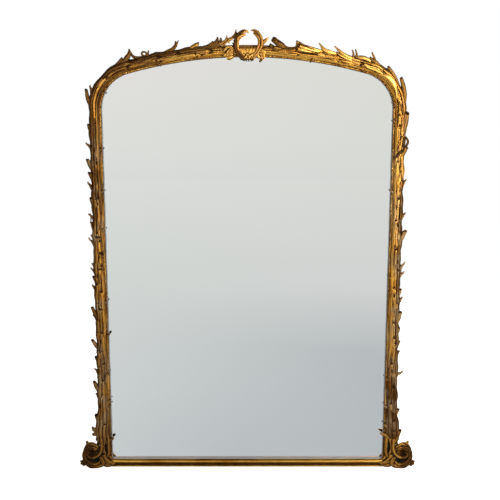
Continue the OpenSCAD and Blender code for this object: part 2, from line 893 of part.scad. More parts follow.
module hanger_screws() {
  color(STEEL)
    for (side = [0, 1])
      mirror([side, 0, 0]) {
        hanger_holes(screw_d);
        for (z = screw_z)
          translate([hang_x, back_y + strap_t, z])
            rotate([-90, 0, 0])
              cylinder(d1 = screw_d * 2, d2 = screw_d * 1.4, h = screw_d * 0.5, $fn = 32);
      }
}

// ---------- the pieces ----------

module left() {
  mirror([1, 0, 0])
    children();
}

bottom_rail();
left() stile();  // left_stile
stile();  // right_stile
left() haunch();  // left_haunch
haunch();  // right_haunch
crown_rail();
lap_dowels();
mirror_plate();
glazing_blocks();
for (i = [1:board_n])
  backboard(i);
backboard_brads();
bottom_moulding();
left() side_bead();  // left_bead
side_bead();  // right_bead
left() shoulder_bead();  // left_shoulder_bead
shoulder_bead();  // right_shoulder_bead
crown_bead();
left() trunk(0, LEFT_POST_STUBS, LEFT_POST_INNER);  // left_trunk
trunk(70, RIGHT_POST_STUBS, RIGHT_POST_INNER);  // right_trunk
left() bough(0, LEFT_BOUGH_STUBS, [[0.1, 6, 10, 5], [0.48, 1, 8, 5]])  // left_bough
    curl(post_l + 0.41 * bough_l, bead_w + trunk_w + 9, 7);
bough(70, RIGHT_BOUGH_STUBS, [[0.04, 1, 8, 5], [0.64, 1, 10, 5]]);  // right_bough
left() foot();  // left_foot
foot();  // right_foot
left() foot_block();  // left_foot_block
foot_block();  // right_foot_block
crest_left_branch();
crest_right_branch();
crest_blossoms();
crest_leaf([[-66, 8, -76, 24], [-68, 10, -56, 26], [-66, 6, -84, 6], [-66, 6, -52, 2]]);  // crest_left_leaf
crest_leaf([[54, 6, 64, 22], [54, 6, 66, 10], [54, 6, 54, -12], [54, 6, 41, -14]]);  // crest_right_leaf
left() hanger_strap();  // left_hanger_strap
hanger_strap();  // right_hanger_strap
left() hanger_ring();  // left_hanger_ring
hanger_ring();  // right_hanger_ring
hanger_screws();
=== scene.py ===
# %% [markdown]
# # An overmantel mirror in a gilded branch frame
# The object is a tall looking glass in a pine carcass, faced with branches that were carved
# from wood, laid with gesso and gilded. The solids of the carcass, the glass, the boards and the
# hangers come from the CAD model and stay as they are. The carvings are made again here, in much
# finer detail, over the same lines, and take the place of their plain solids.

import itertools
import math

import bpy
import numpy as np
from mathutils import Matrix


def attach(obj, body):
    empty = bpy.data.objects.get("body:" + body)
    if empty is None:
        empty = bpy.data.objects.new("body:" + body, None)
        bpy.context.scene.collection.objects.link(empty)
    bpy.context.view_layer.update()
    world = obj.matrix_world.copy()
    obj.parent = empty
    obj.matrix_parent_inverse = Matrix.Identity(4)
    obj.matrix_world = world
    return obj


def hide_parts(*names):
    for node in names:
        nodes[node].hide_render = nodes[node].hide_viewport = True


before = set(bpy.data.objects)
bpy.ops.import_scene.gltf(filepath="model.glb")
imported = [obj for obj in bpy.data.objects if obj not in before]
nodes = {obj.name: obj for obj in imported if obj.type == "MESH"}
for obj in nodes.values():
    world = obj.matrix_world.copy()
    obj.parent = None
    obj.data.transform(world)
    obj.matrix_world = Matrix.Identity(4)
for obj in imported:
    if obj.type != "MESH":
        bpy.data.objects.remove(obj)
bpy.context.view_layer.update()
scene = bpy.context.scene

# %% [markdown]
# ## Camera and stage
# The photograph was taken from in front, a little above the middle of the glass and tilted
# down by ten degrees, from about three metres off. The camera is put there first, so that every
# later choice can be judged in the picture.

# %% Camera
LENS_MM = 56.8
EYE = (0.0106, -3.079, 1.4455)
TILT_DOWN = 10

camera_data = bpy.data.cameras.new("camera")
camera_data.sensor_width = 36
camera_data.lens = LENS_MM
camera = bpy.data.objects.new("camera", camera_data)
camera.location = EYE
camera.rotation_euler = (math.radians(90 - TILT_DOWN), 0, 0)
scene.collection.objects.link(camera)
scene.camera = camera
scene.view_settings.view_transform = "Standard"
print("camera at", EYE, "with a lens of", LENS_MM, "mm")

# %% [markdown]
# ## Writing materials as sums
# A node tree reads best as a formula. One small class wraps an output socket, so that
# `1 - mask * 0.5` adds the Math nodes by itself. Colours don't go through Math nodes, which
# would turn them grey: they are mixed by a Mix node.

# %% A socket that can be reckoned with
class Value:
    def __init__(self, finish, socket):
        self.finish, self.socket = finish, socket

    def math(self, operation, *others):
        return self.finish.node("ShaderNodeMath", {"operation": operation},
                                dict(enumerate((self,) + others)))

    def after(self, operation, number):
        """The same sum with a plain number before the value, as in 1 - mask."""
        return self.finish.node("ShaderNodeMath", {"operation": operation}, {0: number, 1: self})

    def __add__(self, other):
        return self.math("ADD", other)

    def __mul__(self, other):
        return self.math("MULTIPLY", other)

    def __sub__(self, other):
        return self.math("SUBTRACT", other)

    def __truediv__(self, other):
        return self.math("DIVIDE", other)

    def __rsub__(self, other):
        return self.after("SUBTRACT", other)

    def __rtruediv__(self, other):
        return self.after("DIVIDE", other)

    __radd__, __rmul__ = __add__, __mul__

    def within(self, low, high):
        """0 at low and 1 at high, smoothly, and level outside them."""
        return self.finish.node("ShaderNodeMapRange", {"interpolation_type": "SMOOTHSTEP"},
                                {"Value": self, "From Min": low, "From Max": high})


print("a Value can be added, taken away, multiplied and divided")

# %% [markdown]
# Every other node comes from one method, `node`. It takes the node's type, its settings, which
# are set first, and the values or links of its sockets. The methods after it are short names for
# the nodes that these finishes use most.

# %% A finish that hands out nodes
class Finish:
    def __init__(self, owner):
        self.owner = owner
        owner.use_nodes = True
        self.tree = owner.node_tree
        self.tree.nodes.clear()

    def node(self, kind, settings=None, sockets=None, out=0):
        made = self.tree.nodes.new(kind)
        for key, value in (settings or {}).items():
            if key == "stops":
                while len(made.color_ramp.elements) < len(value):
                    made.color_ramp.elements.new(0.5)
                for stop, (place, colour) in zip(made.color_ramp.elements, value):
                    stop.position, stop.color = place, (*colour, 1)
            else:
                setattr(made, key, value)
        for key, value in (sockets or {}).items():
            if isinstance(value, Value):
                self.tree.links.new(value.socket, made.inputs[key])
            else:
                made.inputs[key].default_value = value
        return Value(self, made.outputs[out]) if made.outputs else made

    def outputs(self, value, *names):
        """Several outputs of the node that a value comes from."""
        return [Value(self, value.socket.node.outputs[name]) for name in names]

    def parts(self, vector):
        """The x, y and z of a vector."""
        return self.outputs(self.node("ShaderNodeSeparateXYZ", {}, {0: vector}), 0, 1, 2)

    def rays(self):
        """1 for rays straight from the camera, and 1 for rays that come off glass or gold."""
        return self.outputs(self.node("ShaderNodeLightPath"), "Is Camera Ray", "Is Glossy Ray")

    def mix(self, share, a, b):
        """Colour a where share is 0 and colour b where it is 1."""
        a, b = (v if isinstance(v, Value) else (*v, 1) for v in (a, b))
        return self.node("ShaderNodeMix", {"data_type": "RGBA"}, {0: share, 6: a, 7: b}, 2)

    def either(self, share, a, b):
        """Shader a where share is 0 and shader b where it is 1."""
        return self.node("ShaderNodeMixShader", {}, {0: share, 1: a, 2: b})

    def place(self, stretch=(1, 1, 1)):
        """Where on the object a point lies, in metres, with each direction stretched."""
        coordinates = self.node("ShaderNodeTexCoord", out=3)
        return self.node("ShaderNodeVectorMath", {"operation": "MULTIPLY"}, {0: coordinates, 1: stretch})

    def noise(self, place, scale, detail=3.0, roughness=0.55):
        return self.node("ShaderNodeTexNoise", {}, {
            "Vector": place, "Scale": scale, "Detail": detail, "Roughness": roughness})

    def open_sky(self, reach):
        """1 where a point looks out freely, less where something closes it in within reach."""
        return self.node("ShaderNodeAmbientOcclusion", {"samples": 6}, {"Distance": reach}, out=1)

    def bump(self, height, depth, strength=1.0):
        return self.node("ShaderNodeBump", {}, {"Height": height, "Distance": depth, "Strength": strength})

    def principled(self, **sockets):
        values = {key.replace("_", " "): value for key, value in sockets.items()}
        shader = self.node("ShaderNodeBsdfPrincipled", {}, {
            key: value if isinstance(value, (Value, float, int)) else (*value, 1)
            for key, value in values.items()})
        return self.shown(shader)

    def shown(self, shader):
        kind = "World" if isinstance(self.owner, bpy.types.World) else "Material"
        self.node("ShaderNodeOutput" + kind, {}, {"Surface": shader})
        return self.owner


print("a Finish hands out any node by", Finish.node.__name__)

# %% [markdown]
# ## The room
# A looking glass has no colour of its own: it shows the room in front of it. In the photograph
# it is a smooth grey, lighter at the top left and darker at the bottom right. The room is two
# ramps of grey by height, one on the left and one on the right, and a brown dimness to the sides,
# which is what gold needs to look deep and not white.

# %% Colours of the room
DIM = (0.040, 0.032, 0.024)
LEFT_WALL = [
    (0.0, (0.530, 0.555, 0.572)), (0.2, (0.605, 0.636, 0.640)), (0.45, (0.655, 0.690, 0.670)),
    (0.75, (0.750, 0.762, 0.728)), (1.0, (0.785, 0.765, 0.745))]
RIGHT_WALL = [
    (0.0, (0.475, 0.500, 0.512)), (0.3, (0.490, 0.520, 0.530)), (0.45, (0.660, 0.675, 0.665)),
    (0.75, (0.725, 0.735, 0.695)), (1.0, (0.745, 0.742, 0.700))]
PAST_GLASS = (0.186, 0.26)


def room_colour(finish, height, across, aside, dim=DIM):
    """height runs from 0 by the foot of the glass to 1 above eye level, across from left to right."""
    left, right = (finish.node("ShaderNodeValToRGB", {"stops": stops}, {"Fac": height})
                   for stops in (LEFT_WALL, RIGHT_WALL))
    return finish.mix(aside, finish.mix(across, left, right), dim)


print("wall of", len(LEFT_WALL), "greys on the left and", len(RIGHT_WALL), "on the right")

# %% [markdown]
# Rays that come off the glass or the gold see this room, the camera itself sees white, and
# every other ray a weak even light. `right`, `back` and `up` are the direction of the ray.

# %% The world
ROOM_LIGHT = 0.12

world = bpy.data.worlds.new("room")
scene.world = world
room = Finish(world)
right, back, up = room.parts(room.node("ShaderNodeTexCoord", out=0))
aside = (right * -1).within(*PAST_GLASS).math("MAXIMUM", right.within(0.5, 0.85))
overhead = (up - right.math("MAXIMUM", 0) * 0.9).within(0.07, 0.3)
aside = aside.math("MAXIMUM", overhead).math("MAXIMUM", back.within(-0.6, 0.0))
wall = room.node("ShaderNodeBackground", {}, {
    "Color": room_colour(room, (up + 0.35) * 2.4, right * 3 + 0.5, aside), "Strength": 1.0})
lit = room.node("ShaderNodeBackground", {}, {"Color": (1, 0.985, 0.96, 1), "Strength": ROOM_LIGHT})
white = room.node("ShaderNodeBackground", {}, {"Color": (1, 1, 1, 1), "Strength": 1.0})
seen, mirrored = room.rays()
room.shown(room.either(seen, room.either(mirrored, lit, wall), white))
print("world:", len(room.tree.nodes), "nodes")

# %% [markdown]
# The floor is a plain pale sheet that keeps the object's shadow, made of rings of faces that get
# wider outwards.

# %% Floor
FLOOR_RINGS = (0.5, 1.0, 2.0, 4.0, 8.0, 14.0)
FLOOR_SIDES = 48


def make_floor():
    turns = [2 * math.pi * i / FLOOR_SIDES for i in range(FLOOR_SIDES)]
    points = [(0, 0, 0)] + [(r * math.cos(turn), r * math.sin(turn), 0)
                            for r in FLOOR_RINGS for turn in turns]
    faces = [(0, 1 + i, 1 + (i + 1) % FLOOR_SIDES) for i in range(FLOOR_SIDES)]
    for ring in range(len(FLOOR_RINGS) - 1):
        a = 1 + ring * FLOOR_SIDES
        b = a + FLOOR_SIDES
        faces += [(a + i, b + i, b + (i + 1) % FLOOR_SIDES, a + (i + 1) % FLOOR_SIDES)
                  for i in range(FLOOR_SIDES)]
    mesh = bpy.data.meshes.new("floor")
    mesh.from_pydata(points, [], faces)
    floor = bpy.data.objects.new("floor", mesh)
    scene.collection.objects.link(floor)
    return floor


floor = make_floor()
print("floor:", len(floor.data.polygons), "faces")

# %% [markdown]
# The glass sees the floor as grey, and lighter with distance, so that it runs on into the wall of
# the room. The camera sees it matt, with enough glow of its own to turn white. `far` goes from 0
# below the glass to 1 far away, and `across` is the direction of a place as the eye sees it.

# %% The floor's finish
EYE_AWAY = 3.05

ground = Finish(bpy.data.materials.new("floor"))
spot = ground.node("ShaderNodeTexCoord", out=3)
distance = ground.node("ShaderNodeVectorMath", {"operation": "LENGTH"}, {0: spot}, 1)
across = ground.parts(spot)[0] / (distance + EYE_AWAY)
aside = (across * -1).within(*PAST_GLASS).math("MAXIMUM", across.within(0.4, 0.8))
far = distance / (distance + EYE_AWAY)
dim = ground.mix(distance.within(0.5, 1.8), DIM, (0.50, 0.46, 0.40))
grey = ground.node("ShaderNodeEmission", {}, {
    "Color": room_colour(ground, far * 0.84, across * 3 + 0.5, aside, dim), "Strength": 1.0})
matt = ground.node("ShaderNodeBsdfDiffuse", {}, {"Color": (0.8, 0.8, 0.8, 1)})
glow = ground.node("ShaderNodeEmission", {}, {"Color": (1, 1, 1, 1), "Strength": 0.92})
sheet = ground.node("ShaderNodeAddShader", {}, {0: matt, 1: glow})
seen, mirrored = ground.rays()
pale = ground.either(seen, matt, sheet)
floor.data.materials.append(ground.shown(ground.either(mirrored, pale, grey)))
print("floor's finish:", len(ground.tree.nodes), "nodes")

# %% [markdown]
# ## Light
# In the photograph the right-hand post and the top are bright yellow gold, and the left-hand post
# and the feet are brown. A large soft lamp stands to the upper right of the camera, close enough
# that its light falls off across the frame, and a weak one fills in from the left. One low on the
# right catches the sides that face the glass. One spot lights the left-hand post along its
# length, and one is aimed up at the strands on the underside of the arch. The last lamp stands
# behind, for views of the back. The glass would show all of them as bright discs, so light
# linking keeps them off it.

# %% Lamps
beside_lamps = bpy.data.collections.new("sees no lamps")
beside_lamps.objects.link(nodes["mirror_plate"])
beside_lamps.collection_objects[0].light_linking.link_state = "EXCLUDE"


def lamp(name, place, target, size, watts, colour, cone=None):
    data = bpy.data.lights.new(name, "SPOT" if cone else "AREA")
    data.energy, data.color = watts, colour
    if cone:
        data.shadow_soft_size, data.spot_size, data.spot_blend = size / 2, math.radians(cone), 0.6
    else:
        data.shape, data.size = "DISK", size
    made = bpy.data.objects.new(name, data)
    made.location = place
    aim = np.subtract(target, place)
    made.rotation_euler = (math.atan2(math.hypot(aim[0], aim[1]), -aim[2]), 0,
                           math.atan2(aim[1], aim[0]) - math.pi / 2)
    made.light_linking.receiver_collection = beside_lamps
    scene.collection.objects.link(made)
    print(name, "at", place, watts, "W")
    return made


lamp("window", (1.55, -2.0, 1.95), (0.2, 0, 1.4), 0.8, 46, (1.0, 0.96, 0.90))
lamp("fill", (-1.6, -2.0, 2.0), (0.4, 0, 1.3), 0.8, 19, (1.0, 0.97, 0.93))
lamp("along the post", (-1.25, -1.4, 0.9), (0.6, 0, 0.85), 0.3, 32, (1.0, 0.95, 0.80), cone=50)
lamp("low", (1.5, -2.0, 0.5), (0.2, 0, 1.2), 0.8, 13, (1.0, 0.94, 0.85))
lamp("under the arch", (1.15, -1.3, 0.4), (0.22, 0, 1.68), 0.3, 45, (1.0, 0.93, 0.78), cone=42)
behind = lamp("behind", (0.5, 2.6, 1.7), (0, 0, 0.8), 1.0, 42, (1.0, 0.97, 0.93))
behind.visible_camera = False

# %% [markdown]
# ## The line that every carving follows
# Posts, shoulders and arch are one line round the opening. A carver draws it first, and so does
# this script: a place on the frame is a length `s` from the rail along that line, a distance `u`
# outwards from the opening, and a depth `y`. All of them are in millimetres here, with the
# numbers of the CAD model, and the left side is the right side's line turned over.

# %% Sizes of the frame, in mm
SIGHT_W, SIGHT_H = 1115.0, 1615.0
CROWN_R, SHOULDER_R = 1700.0, 140.0
RAIL_H, FACE_Y, FOOT_H = 31.0, -16.0, 112.0
BEAD_W, BEAD_H = 10.0, 8.0
TRUNK_W, TRUNK_D, ROOT_FLARE = 39.0, 26.0, 10.0
SEAT_D, SEAT_HALF_W = 14.0, 92.0
SIGHT_TOP = RAIL_H + SIGHT_H
CROWN_Z = SIGHT_TOP - CROWN_R
SHOULDER_X = SIGHT_W / 2 - SHOULDER_R
ARCH = math.asin(SHOULDER_X / (CROWN_R - SHOULDER_R))
SPRING_Z = CROWN_Z + (CROWN_R - SHOULDER_R) * math.cos(ARCH)
POST_L = SPRING_Z - RAIL_H
SHOULDER_L = SHOULDER_R * (math.pi / 2 - ARCH)
BOUGH_L = SHOULDER_L + CROWN_R * ARCH
WHOLE_L = POST_L + BOUGH_L
print("post", round(POST_L), "mm, bough", round(BOUGH_L), "mm")

# %% [markdown]
# The line is straight up the post, turns round the shoulder and leans over along the arch.
# `np.select` picks one of the three for each point, so that whole sheets of points go through
# at once.

# %% Across and up, from a length and a distance outwards
def edge(s, u):
    s, u = np.broadcast_arrays(np.asarray(s, float), np.asarray(u, float))
    turn = (s - POST_L) / SHOULDER_R
    lean = ARCH - (s - POST_L - SHOULDER_L) / CROWN_R
    where = [s <= POST_L, s <= POST_L + SHOULDER_L]
    x = np.select(where, [SIGHT_W / 2 + u, SHOULDER_X + (SHOULDER_R + u) * np.cos(turn)],
                  (CROWN_R + u) * np.sin(lean))
    z = np.select(where, [RAIL_H + s, SPRING_Z + (SHOULDER_R + u) * np.sin(turn)],
                  CROWN_Z + (CROWN_R + u) * np.cos(lean))
    return x, z


def on_edge(s, u, y):
    x, z = edge(s, u)
    return np.stack([x, np.broadcast_to(np.asarray(y, float), x.shape), z], -1)


print("the line ends at", np.round(on_edge(WHOLE_L, 0, FACE_Y), 1))

# %% [markdown]
# ## Seeded grain
# Wood is never even. `grain` gives smooth random values at any place, one lattice cell to a unit,
# from a hash that is the same on every machine. Dividing a direction by a large number before the
# call stretches the grain along it.

# %% Smooth random values
PRIMES = (73856093, 19349663, 83492791)
SEED_SPREAD, SPREAD = 2654435761, np.uint64(0x9E3779B97F4A7C15)


def grain(seed, *place):
    """From -1 to 1, at a place of one, two or three directions."""
    place = np.broadcast_arrays(*[np.asarray(p, float) for p in place])
    cells = [np.floor(p).astype(np.int64) for p in place]
    rests = [p - c for p, c in zip(place, cells)]
    eased = [r * r * (3 - 2 * r) for r in rests]
    total = np.zeros(place[0].shape)
    for corner in itertools.product((0, 1), repeat=len(place)):
        mixed = np.full(place[0].shape, seed * SEED_SPREAD % 2 ** 32, np.uint64)
        share = np.ones(place[0].shape)
        for cell, k, e, prime in zip(cells, corner, eased, PRIMES):
            mixed = (mixed ^ ((cell + k) * prime).astype(np.uint64)) * SPREAD
            mixed = mixed ^ (mixed >> np.uint64(29))
            share = share * (e if k else 1 - e)
        total += share * (mixed >> np.uint64(40)).astype(float) / 2 ** 24
    return 2 * total - 1


print("grain at three places:", np.round(grain(1, np.array([0.2, 1.7, 9.4])), 3))

# %% [markdown]
# Most of what is carved starts or ends somewhere along the frame. `ease` lets it come in
# smoothly between two places.

# %% Smooth steps
def ease(x, a, b):
    """1 at a and beyond it, 0 at b, and smooth between them."""
    t = np.clip((x - b) / (a - b), 0, 1)
    return t * t * (3 - 2 * t)


print("ease from 0 to 10:", [round(float(ease(x, 10, 0)), 2) for x in (0, 2.5, 5, 7.5, 10)])

# %% [markdown]
# ## From points to a piece
# A loft joins rings of points to a closed skin, with its ends closed. Several skins may be joined
# to one object. Points are in millimetres until the very end. Each point carries four marks for
# the finish: how far along the grain it lies, how far across, which strand it is on, and how dull
# the gilding is there, from -1 for rubbed bright to 1 for brown, and beyond 1 for black. That last
# mark holds painted light as well: painted highlight below 0, and much painted shade above it.

# %% Lofts
def loft(rings, marks=None):
    """(points, faces, marks) of a closed skin through rings, an array of rings x points x 3."""
    rings = np.asarray(rings, float)
    n, m = rings.shape[:2]
    i, j = np.meshgrid(np.arange(n - 1), np.arange(m), indexing="ij")
    a, b = i * m + j, i * m + (j + 1) % m
    quads = np.stack([a, b, b + m, a + m], -1).reshape(-1, 4)
    p = rings.reshape(-1, 3) - rings.mean((0, 1))
    volume = np.einsum("ij,ij->", p[quads[:, 0]], np.cross(p[quads[:, 1]], p[quads[:, 2]])
                       + np.cross(p[quads[:, 2]], p[quads[:, 3]]))
    faces = quads.tolist() + [list(range(m))[::-1], list(range((n - 1) * m, n * m))]
    if volume < 0:
        faces = [face[::-1] for face in faces]
    marks = np.zeros((n * m, 4)) if marks is None else np.asarray(marks, float).reshape(-1, 4)
    return rings.reshape(-1, 3), faces, marks


def joined(skins):
    points, faces, marks, count = [], [], [], 0
    for more_points, more_faces, more_marks in skins:
        points.append(more_points)
        marks.append(more_marks)
        faces += [[i + count for i in face] for face in more_faces]
        count += len(more_points)
    return np.concatenate(points), faces, np.concatenate(marks)


def turned_over(skin):
    """The same for the left side."""
    points, faces, marks = skin
    return points * (-1, 1, 1), [face[::-1] for face in faces], marks


box = loft([[(0, 0, z), (1, 0, z), (1, 1, z), (0, 1, z)] for z in (0, 1)])
print("a loft through two squares has", len(box[1]), "faces")

# %% [markdown]
# The marks go on the mesh as attributes, which the finish reads by name. Faces of a loft are
# smooth apart from its flat ends.

# %% Meshes
def keep_marks(mesh, marks):
    layer = mesh.attributes.new("grain", "FLOAT_VECTOR", "POINT")
    layer.data.foreach_set("vector", np.asarray(marks[:, :3] * 0.001, np.float32).ravel())
    # This mark holds real dullness together with painted shade and painted highlight.
    layer = mesh.attributes.new("dull", "FLOAT", "POINT")
    layer.data.foreach_set("value", np.asarray(marks[:, 3], np.float32))


def piece(name, skin):
    points, faces, marks = skin
    mesh = bpy.data.meshes.new(name)
    mesh.from_pydata((points * 0.001).tolist(), [], faces)
    keep_marks(mesh, marks)
    mesh.polygons.foreach_set("use_smooth", [len(face) < 5 for face in faces])
    made = bpy.data.objects.new(name, mesh)
    scene.collection.objects.link(made)
    return made


print("each piece keeps two sets of marks: grain and dull")

# %% [markdown]
# The feet and the crest are built up from many limbs but were carved from one block. A voxel
# remesh turns overlapping skins into one, and a little smoothing takes off the steps.

# %% Skins fused to one block
def fused(made, voxel_mm, rounds):
    remesh = made.modifiers.new("fuse", "REMESH")
    remesh.mode = "VOXEL"
    remesh.voxel_size = voxel_mm * 0.001
    soften = made.modifiers.new("soften", "SMOOTH")
    soften.iterations, soften.factor = rounds, 0.5
    ready = made.evaluated_get(bpy.context.evaluated_depsgraph_get())
    mesh = bpy.data.meshes.new_from_object(ready)
    made.modifiers.clear()
    made.data = mesh
    mesh.polygons.foreach_set("use_smooth", np.ones(len(mesh.polygons), bool))
    return made


print("fused pieces: feet and crest")

# %% [markdown]
# ## Hollows and ridges
# Gilding wears off the ridges, which also get a painted highlight, and painted shade and dirt gather in the
# hollows, so the finish has to know which is which. For each point, the average of its neighbours is worked
# out over a few rounds. If that average lies outside the surface the point is in a hollow. The answer is
# kept on the mesh as a number from -1, a ridge, to 1, a hollow, and either is reached at about twice a
# piece's usual depth. What lies right at the back, against the carcass, is always taken for a hollow, and so
# painted in shade.

# %% Reading the relief
FULL_RELIEF = 2.2


def read_relief(made, reaches, level):
    """reaches are the numbers of rounds, and level how far a piece's usual bulge is taken off."""
    mesh = made.data
    count = len(mesh.vertices)
    co, out = np.empty(count * 3), np.empty(count * 3)
    mesh.vertices.foreach_get("co", co)
    mesh.vertex_normals.foreach_get("vector", out)
    co, out = co.reshape(-1, 3) * 1000, out.reshape(-1, 3)
    ends = np.empty(len(mesh.edges) * 2, np.int32)
    mesh.edges.foreach_get("vertices", ends)
    a, b = ends.reshape(-1, 2).T
    degree = np.maximum(np.bincount(a, minlength=count) + np.bincount(b, minlength=count), 1)
    relief, moved, done = np.zeros(count), co.copy(), 0
    for rounds in reaches:
        for _ in range(rounds - done):
            moved = np.stack([
                np.bincount(a, moved[b, k], count) + np.bincount(b, moved[a, k], count)
                for k in range(3)], -1) / degree[:, None]
        done = rounds
        sunk = ((moved - co) * out).sum(1)
        sunk -= level * np.median(sunk)
        full = FULL_RELIEF * np.percentile(np.abs(sunk), 70) + 1e-6
        relief += np.clip(sunk / full, -1, 1) / len(reaches)
    # Points at the back count as hollows, which the finish paints in shade.
    relief += 0.9 * ease(co[:, 1], FACE_Y - 1, FACE_Y - 4)
    mesh.attributes.new("relief", "FLOAT", "POINT").data.foreach_set("value", relief.astype(np.float32))
    return made


print("relief: a number for every point of a piece")

# %% [markdown]
# ## The trunk
# A trunk is a rounded bar, flat behind, that follows the frame. It is widest at the root, sinks
# away behind the foot at one end, and gets flat at the seat of the crest at the other. These
# functions say how far it stands out and forward at each length `s`.

# %% The plain bar's width and depth
INNER = BEAD_W - 2.5
ROOT_L = 620
FOOT_TOP_S = 90


def at_seat(s):
    """1 where the crest sits."""
    return ease(s, WHOLE_L - SEAT_HALF_W + 10, WHOLE_L - SEAT_HALF_W - 90)


def trunk_out(s):
    return (BEAD_W + TRUNK_W + ROOT_FLARE * np.maximum(0, 1 - np.asarray(s, float) / ROOT_L) ** 1.6
            + 11 * ease(s, FOOT_TOP_S, 250) - 10 * at_seat(s))


def trunk_deep(s):
    return (TRUNK_D + 1.5 * np.sin(2 * np.pi * s / 210) - (TRUNK_D - SEAT_D) * at_seat(s)
            - 11 * ease(s, 78, 122))


def wavy_out(s, phase):
    return (trunk_out(s) + 1.8 * np.sin(2 * np.pi * s / 130 + phase)
            + 1.2 * np.sin(2 * np.pi * s / 57 + 2 * phase))


print("trunk", [round(float(trunk_out(s))) for s in (100, 700, 1400)], "mm wide from root to shoulder")

# %% [markdown]
# A point on the bar is a turn round its section: 0 at the bead, a quarter over the front and pi at
# the outer edge. The side towards the glass stays steeper than the outer one, as on the real
# frame. `turn_at` goes back from a distance outwards to the turn.

# %% A point of the bar
def bar(s, turn, phase):
    """The point, and its distance outwards."""
    half = (wavy_out(s, phase) - INNER) / 2
    side = -np.sign(np.cos(turn)) * np.abs(np.cos(turn)) ** 0.85
    u = INNER + half * (1 + side)
    rise = np.clip(np.sin(turn), 0, 1)
    rise = np.where(np.cos(turn) > 0, 0.22 + 0.78 * rise ** 0.9, rise ** 0.5)
    y = FACE_Y - trunk_deep(s) * 0.95 * rise
    return on_edge(s, u, y), u


def turn_at(s, u, phase):
    half = (wavy_out(s, phase) - INNER) / 2
    side = np.clip((u - INNER) / half - 1, -1, 1)
    return np.arccos(-np.sign(side) * np.abs(side) ** (1 / 0.85))


def raised(s, turn, phase, height):
    """The same point, raised at right angles to the bar's surface."""
    turn = np.clip(turn, 0.03, np.pi - 0.03)
    here, _ = bar(s, turn, phase)
    along = bar(s + 1, turn, phase)[0] - bar(s - 1, turn, phase)[0]
    over = bar(s, turn + 0.025, phase)[0] - bar(s, turn - 0.025, phase)[0]
    out = np.cross(along, over)
    out /= np.linalg.norm(out, axis=-1, keepdims=True) + 1e-9
    out[..., 1] = -np.abs(out[..., 1])
    return here + out * np.asarray(height)[..., None]


print("the bar half way up, at its middle:", np.round(bar(700.0, np.pi / 2, 0.0)[0], 1))

# %% [markdown]
# Equal turns would crowd the points at the edges. So the section is walked once in small steps,
# and the turns that lie equally far apart along it are read off.

# %% Even steps round the bar
SAMPLES, USUAL_S = 2001, 700.0

fine = np.linspace(0, np.pi, SAMPLES)
outline, _ = bar(np.full(SAMPLES, USUAL_S), fine, 0.0)
walked = np.concatenate([[0], np.cumsum(np.linalg.norm(np.diff(outline, axis=0), axis=1))])
GIRTH = walked[-1]


def even_turns(count):
    return np.interp(np.linspace(0, GIRTH, count), walked, fine)


print("girth of the bar's front", round(GIRTH, 1), "mm")

# %% [markdown]
# ## Bark
# Over the bar lies the bark: broad strands that wander and split, plates whose torn ends point to
# the crest, knots where a twig was cut off, and lumps. Each is a height above the plain bar,
# so they can simply be added. They are written for a whole sheet of points at once: `s` runs along
# the trunk, `w` is the length round the section and `u` the distance outwards as seen from in front.

# %% Strands
def strands(s, w, seed, width):
    """The height of the strands, each point's strand number, and 1 in the cracks between two strands."""
    wander = 9 * grain(seed, s / 170, w / 90) + 2.2 * grain(seed + 1, s / 60, w / 30)
    t = (w + wander) / width
    ridge = np.abs(np.sin(np.pi * t)) ** 0.5
    tall = 0.5 + 0.5 * grain(seed + 2, s / 110, np.floor(t) * 1.7)
    t_thin = (w + 1.5 * wander) / (width * 0.42) + grain(seed + 3, s / 60, w / 10)
    thin = np.abs(np.sin(np.pi * t_thin)) ** 0.6
    height = ((2.6 + 3.4 * tall) * (ridge - 0.80) + 2.4 * tall + 1.2 * grain(seed + 4, s / 70, t / 2.0)
              + (0.15 + 0.3 * tall) * (thin - 0.7))
    return height, np.floor(t), ease(ridge, 0.45, 0.80)


print("strands of about 12 mm, so", round(GIRTH / 12), "round the bar")

# %% [markdown]
# A plate of bark lifts from nothing to its torn tip and ends there in a step. A thin groove runs
# beside it, and past the tip lies a pit. The bark paints the groove and the pit dark, as the shadow under
# the tip.

# %% Plates
def plate(s, u, seed, tip, middle, half_w, length, lift, drift=0.0):
    """How far a plate rises, and how deep its groove and its pit are."""
    back = tip - s + 2.4 * grain(seed, u / 2.4, s * 0 + tip)
    t = np.clip(back / length, 0, 1)
    middle = middle - drift * t
    wide = half_w * np.clip(back / (half_w * 1.8), 0.02, 1) ** 0.6 * (1 + 0.18 * grain(seed, s / 11, u * 0))
    off = np.abs(u - middle) / wide
    over = np.clip(1 - off ** 3, 0, 1) ** 0.6
    rise = np.where(back > 0, lift * (1 - t) ** 1.2 * over, 0)
    side = np.where(back > 0, -1.6 * (1 - t) * np.exp(-((off - 1.12) / 0.12) ** 2), 0)
    pit = np.where(back <= 0, -4.0 * np.exp(-np.clip(-back, 0, None) / 10)
                   * np.clip(1 - ((u - middle) / (half_w * 0.8)) ** 2, 0, 1), side)
    return rise, pit


rise, _ = plate(np.arange(50.0), 30.0, 1, tip=50, middle=30, half_w=9, length=60, lift=4)
print("a plate with a lift of 4 mm rises by", round(float(rise.max()), 1), "mm")

# %% [markdown]
# A knot is a ring round a pit, longer along the grain than across it. A lump is a smooth
# hill, or a hollow if its height is negative. A long and very narrow hollow is a crack.

# %% Knots and lumps
def knot(s, u, place, middle, r):
    apart = np.hypot((s - place) / 2.3, u - middle)
    return 0.8 * np.exp(-((apart - r) / (0.34 * r + 0.8)) ** 2) - 4.5 * np.exp(-(apart / (0.8 * r)) ** 2)


def lump(s, u, place, middle, long, wide, height):
    return height * np.exp(-((s - place) / long) ** 2 - ((u - middle) / wide) ** 2)


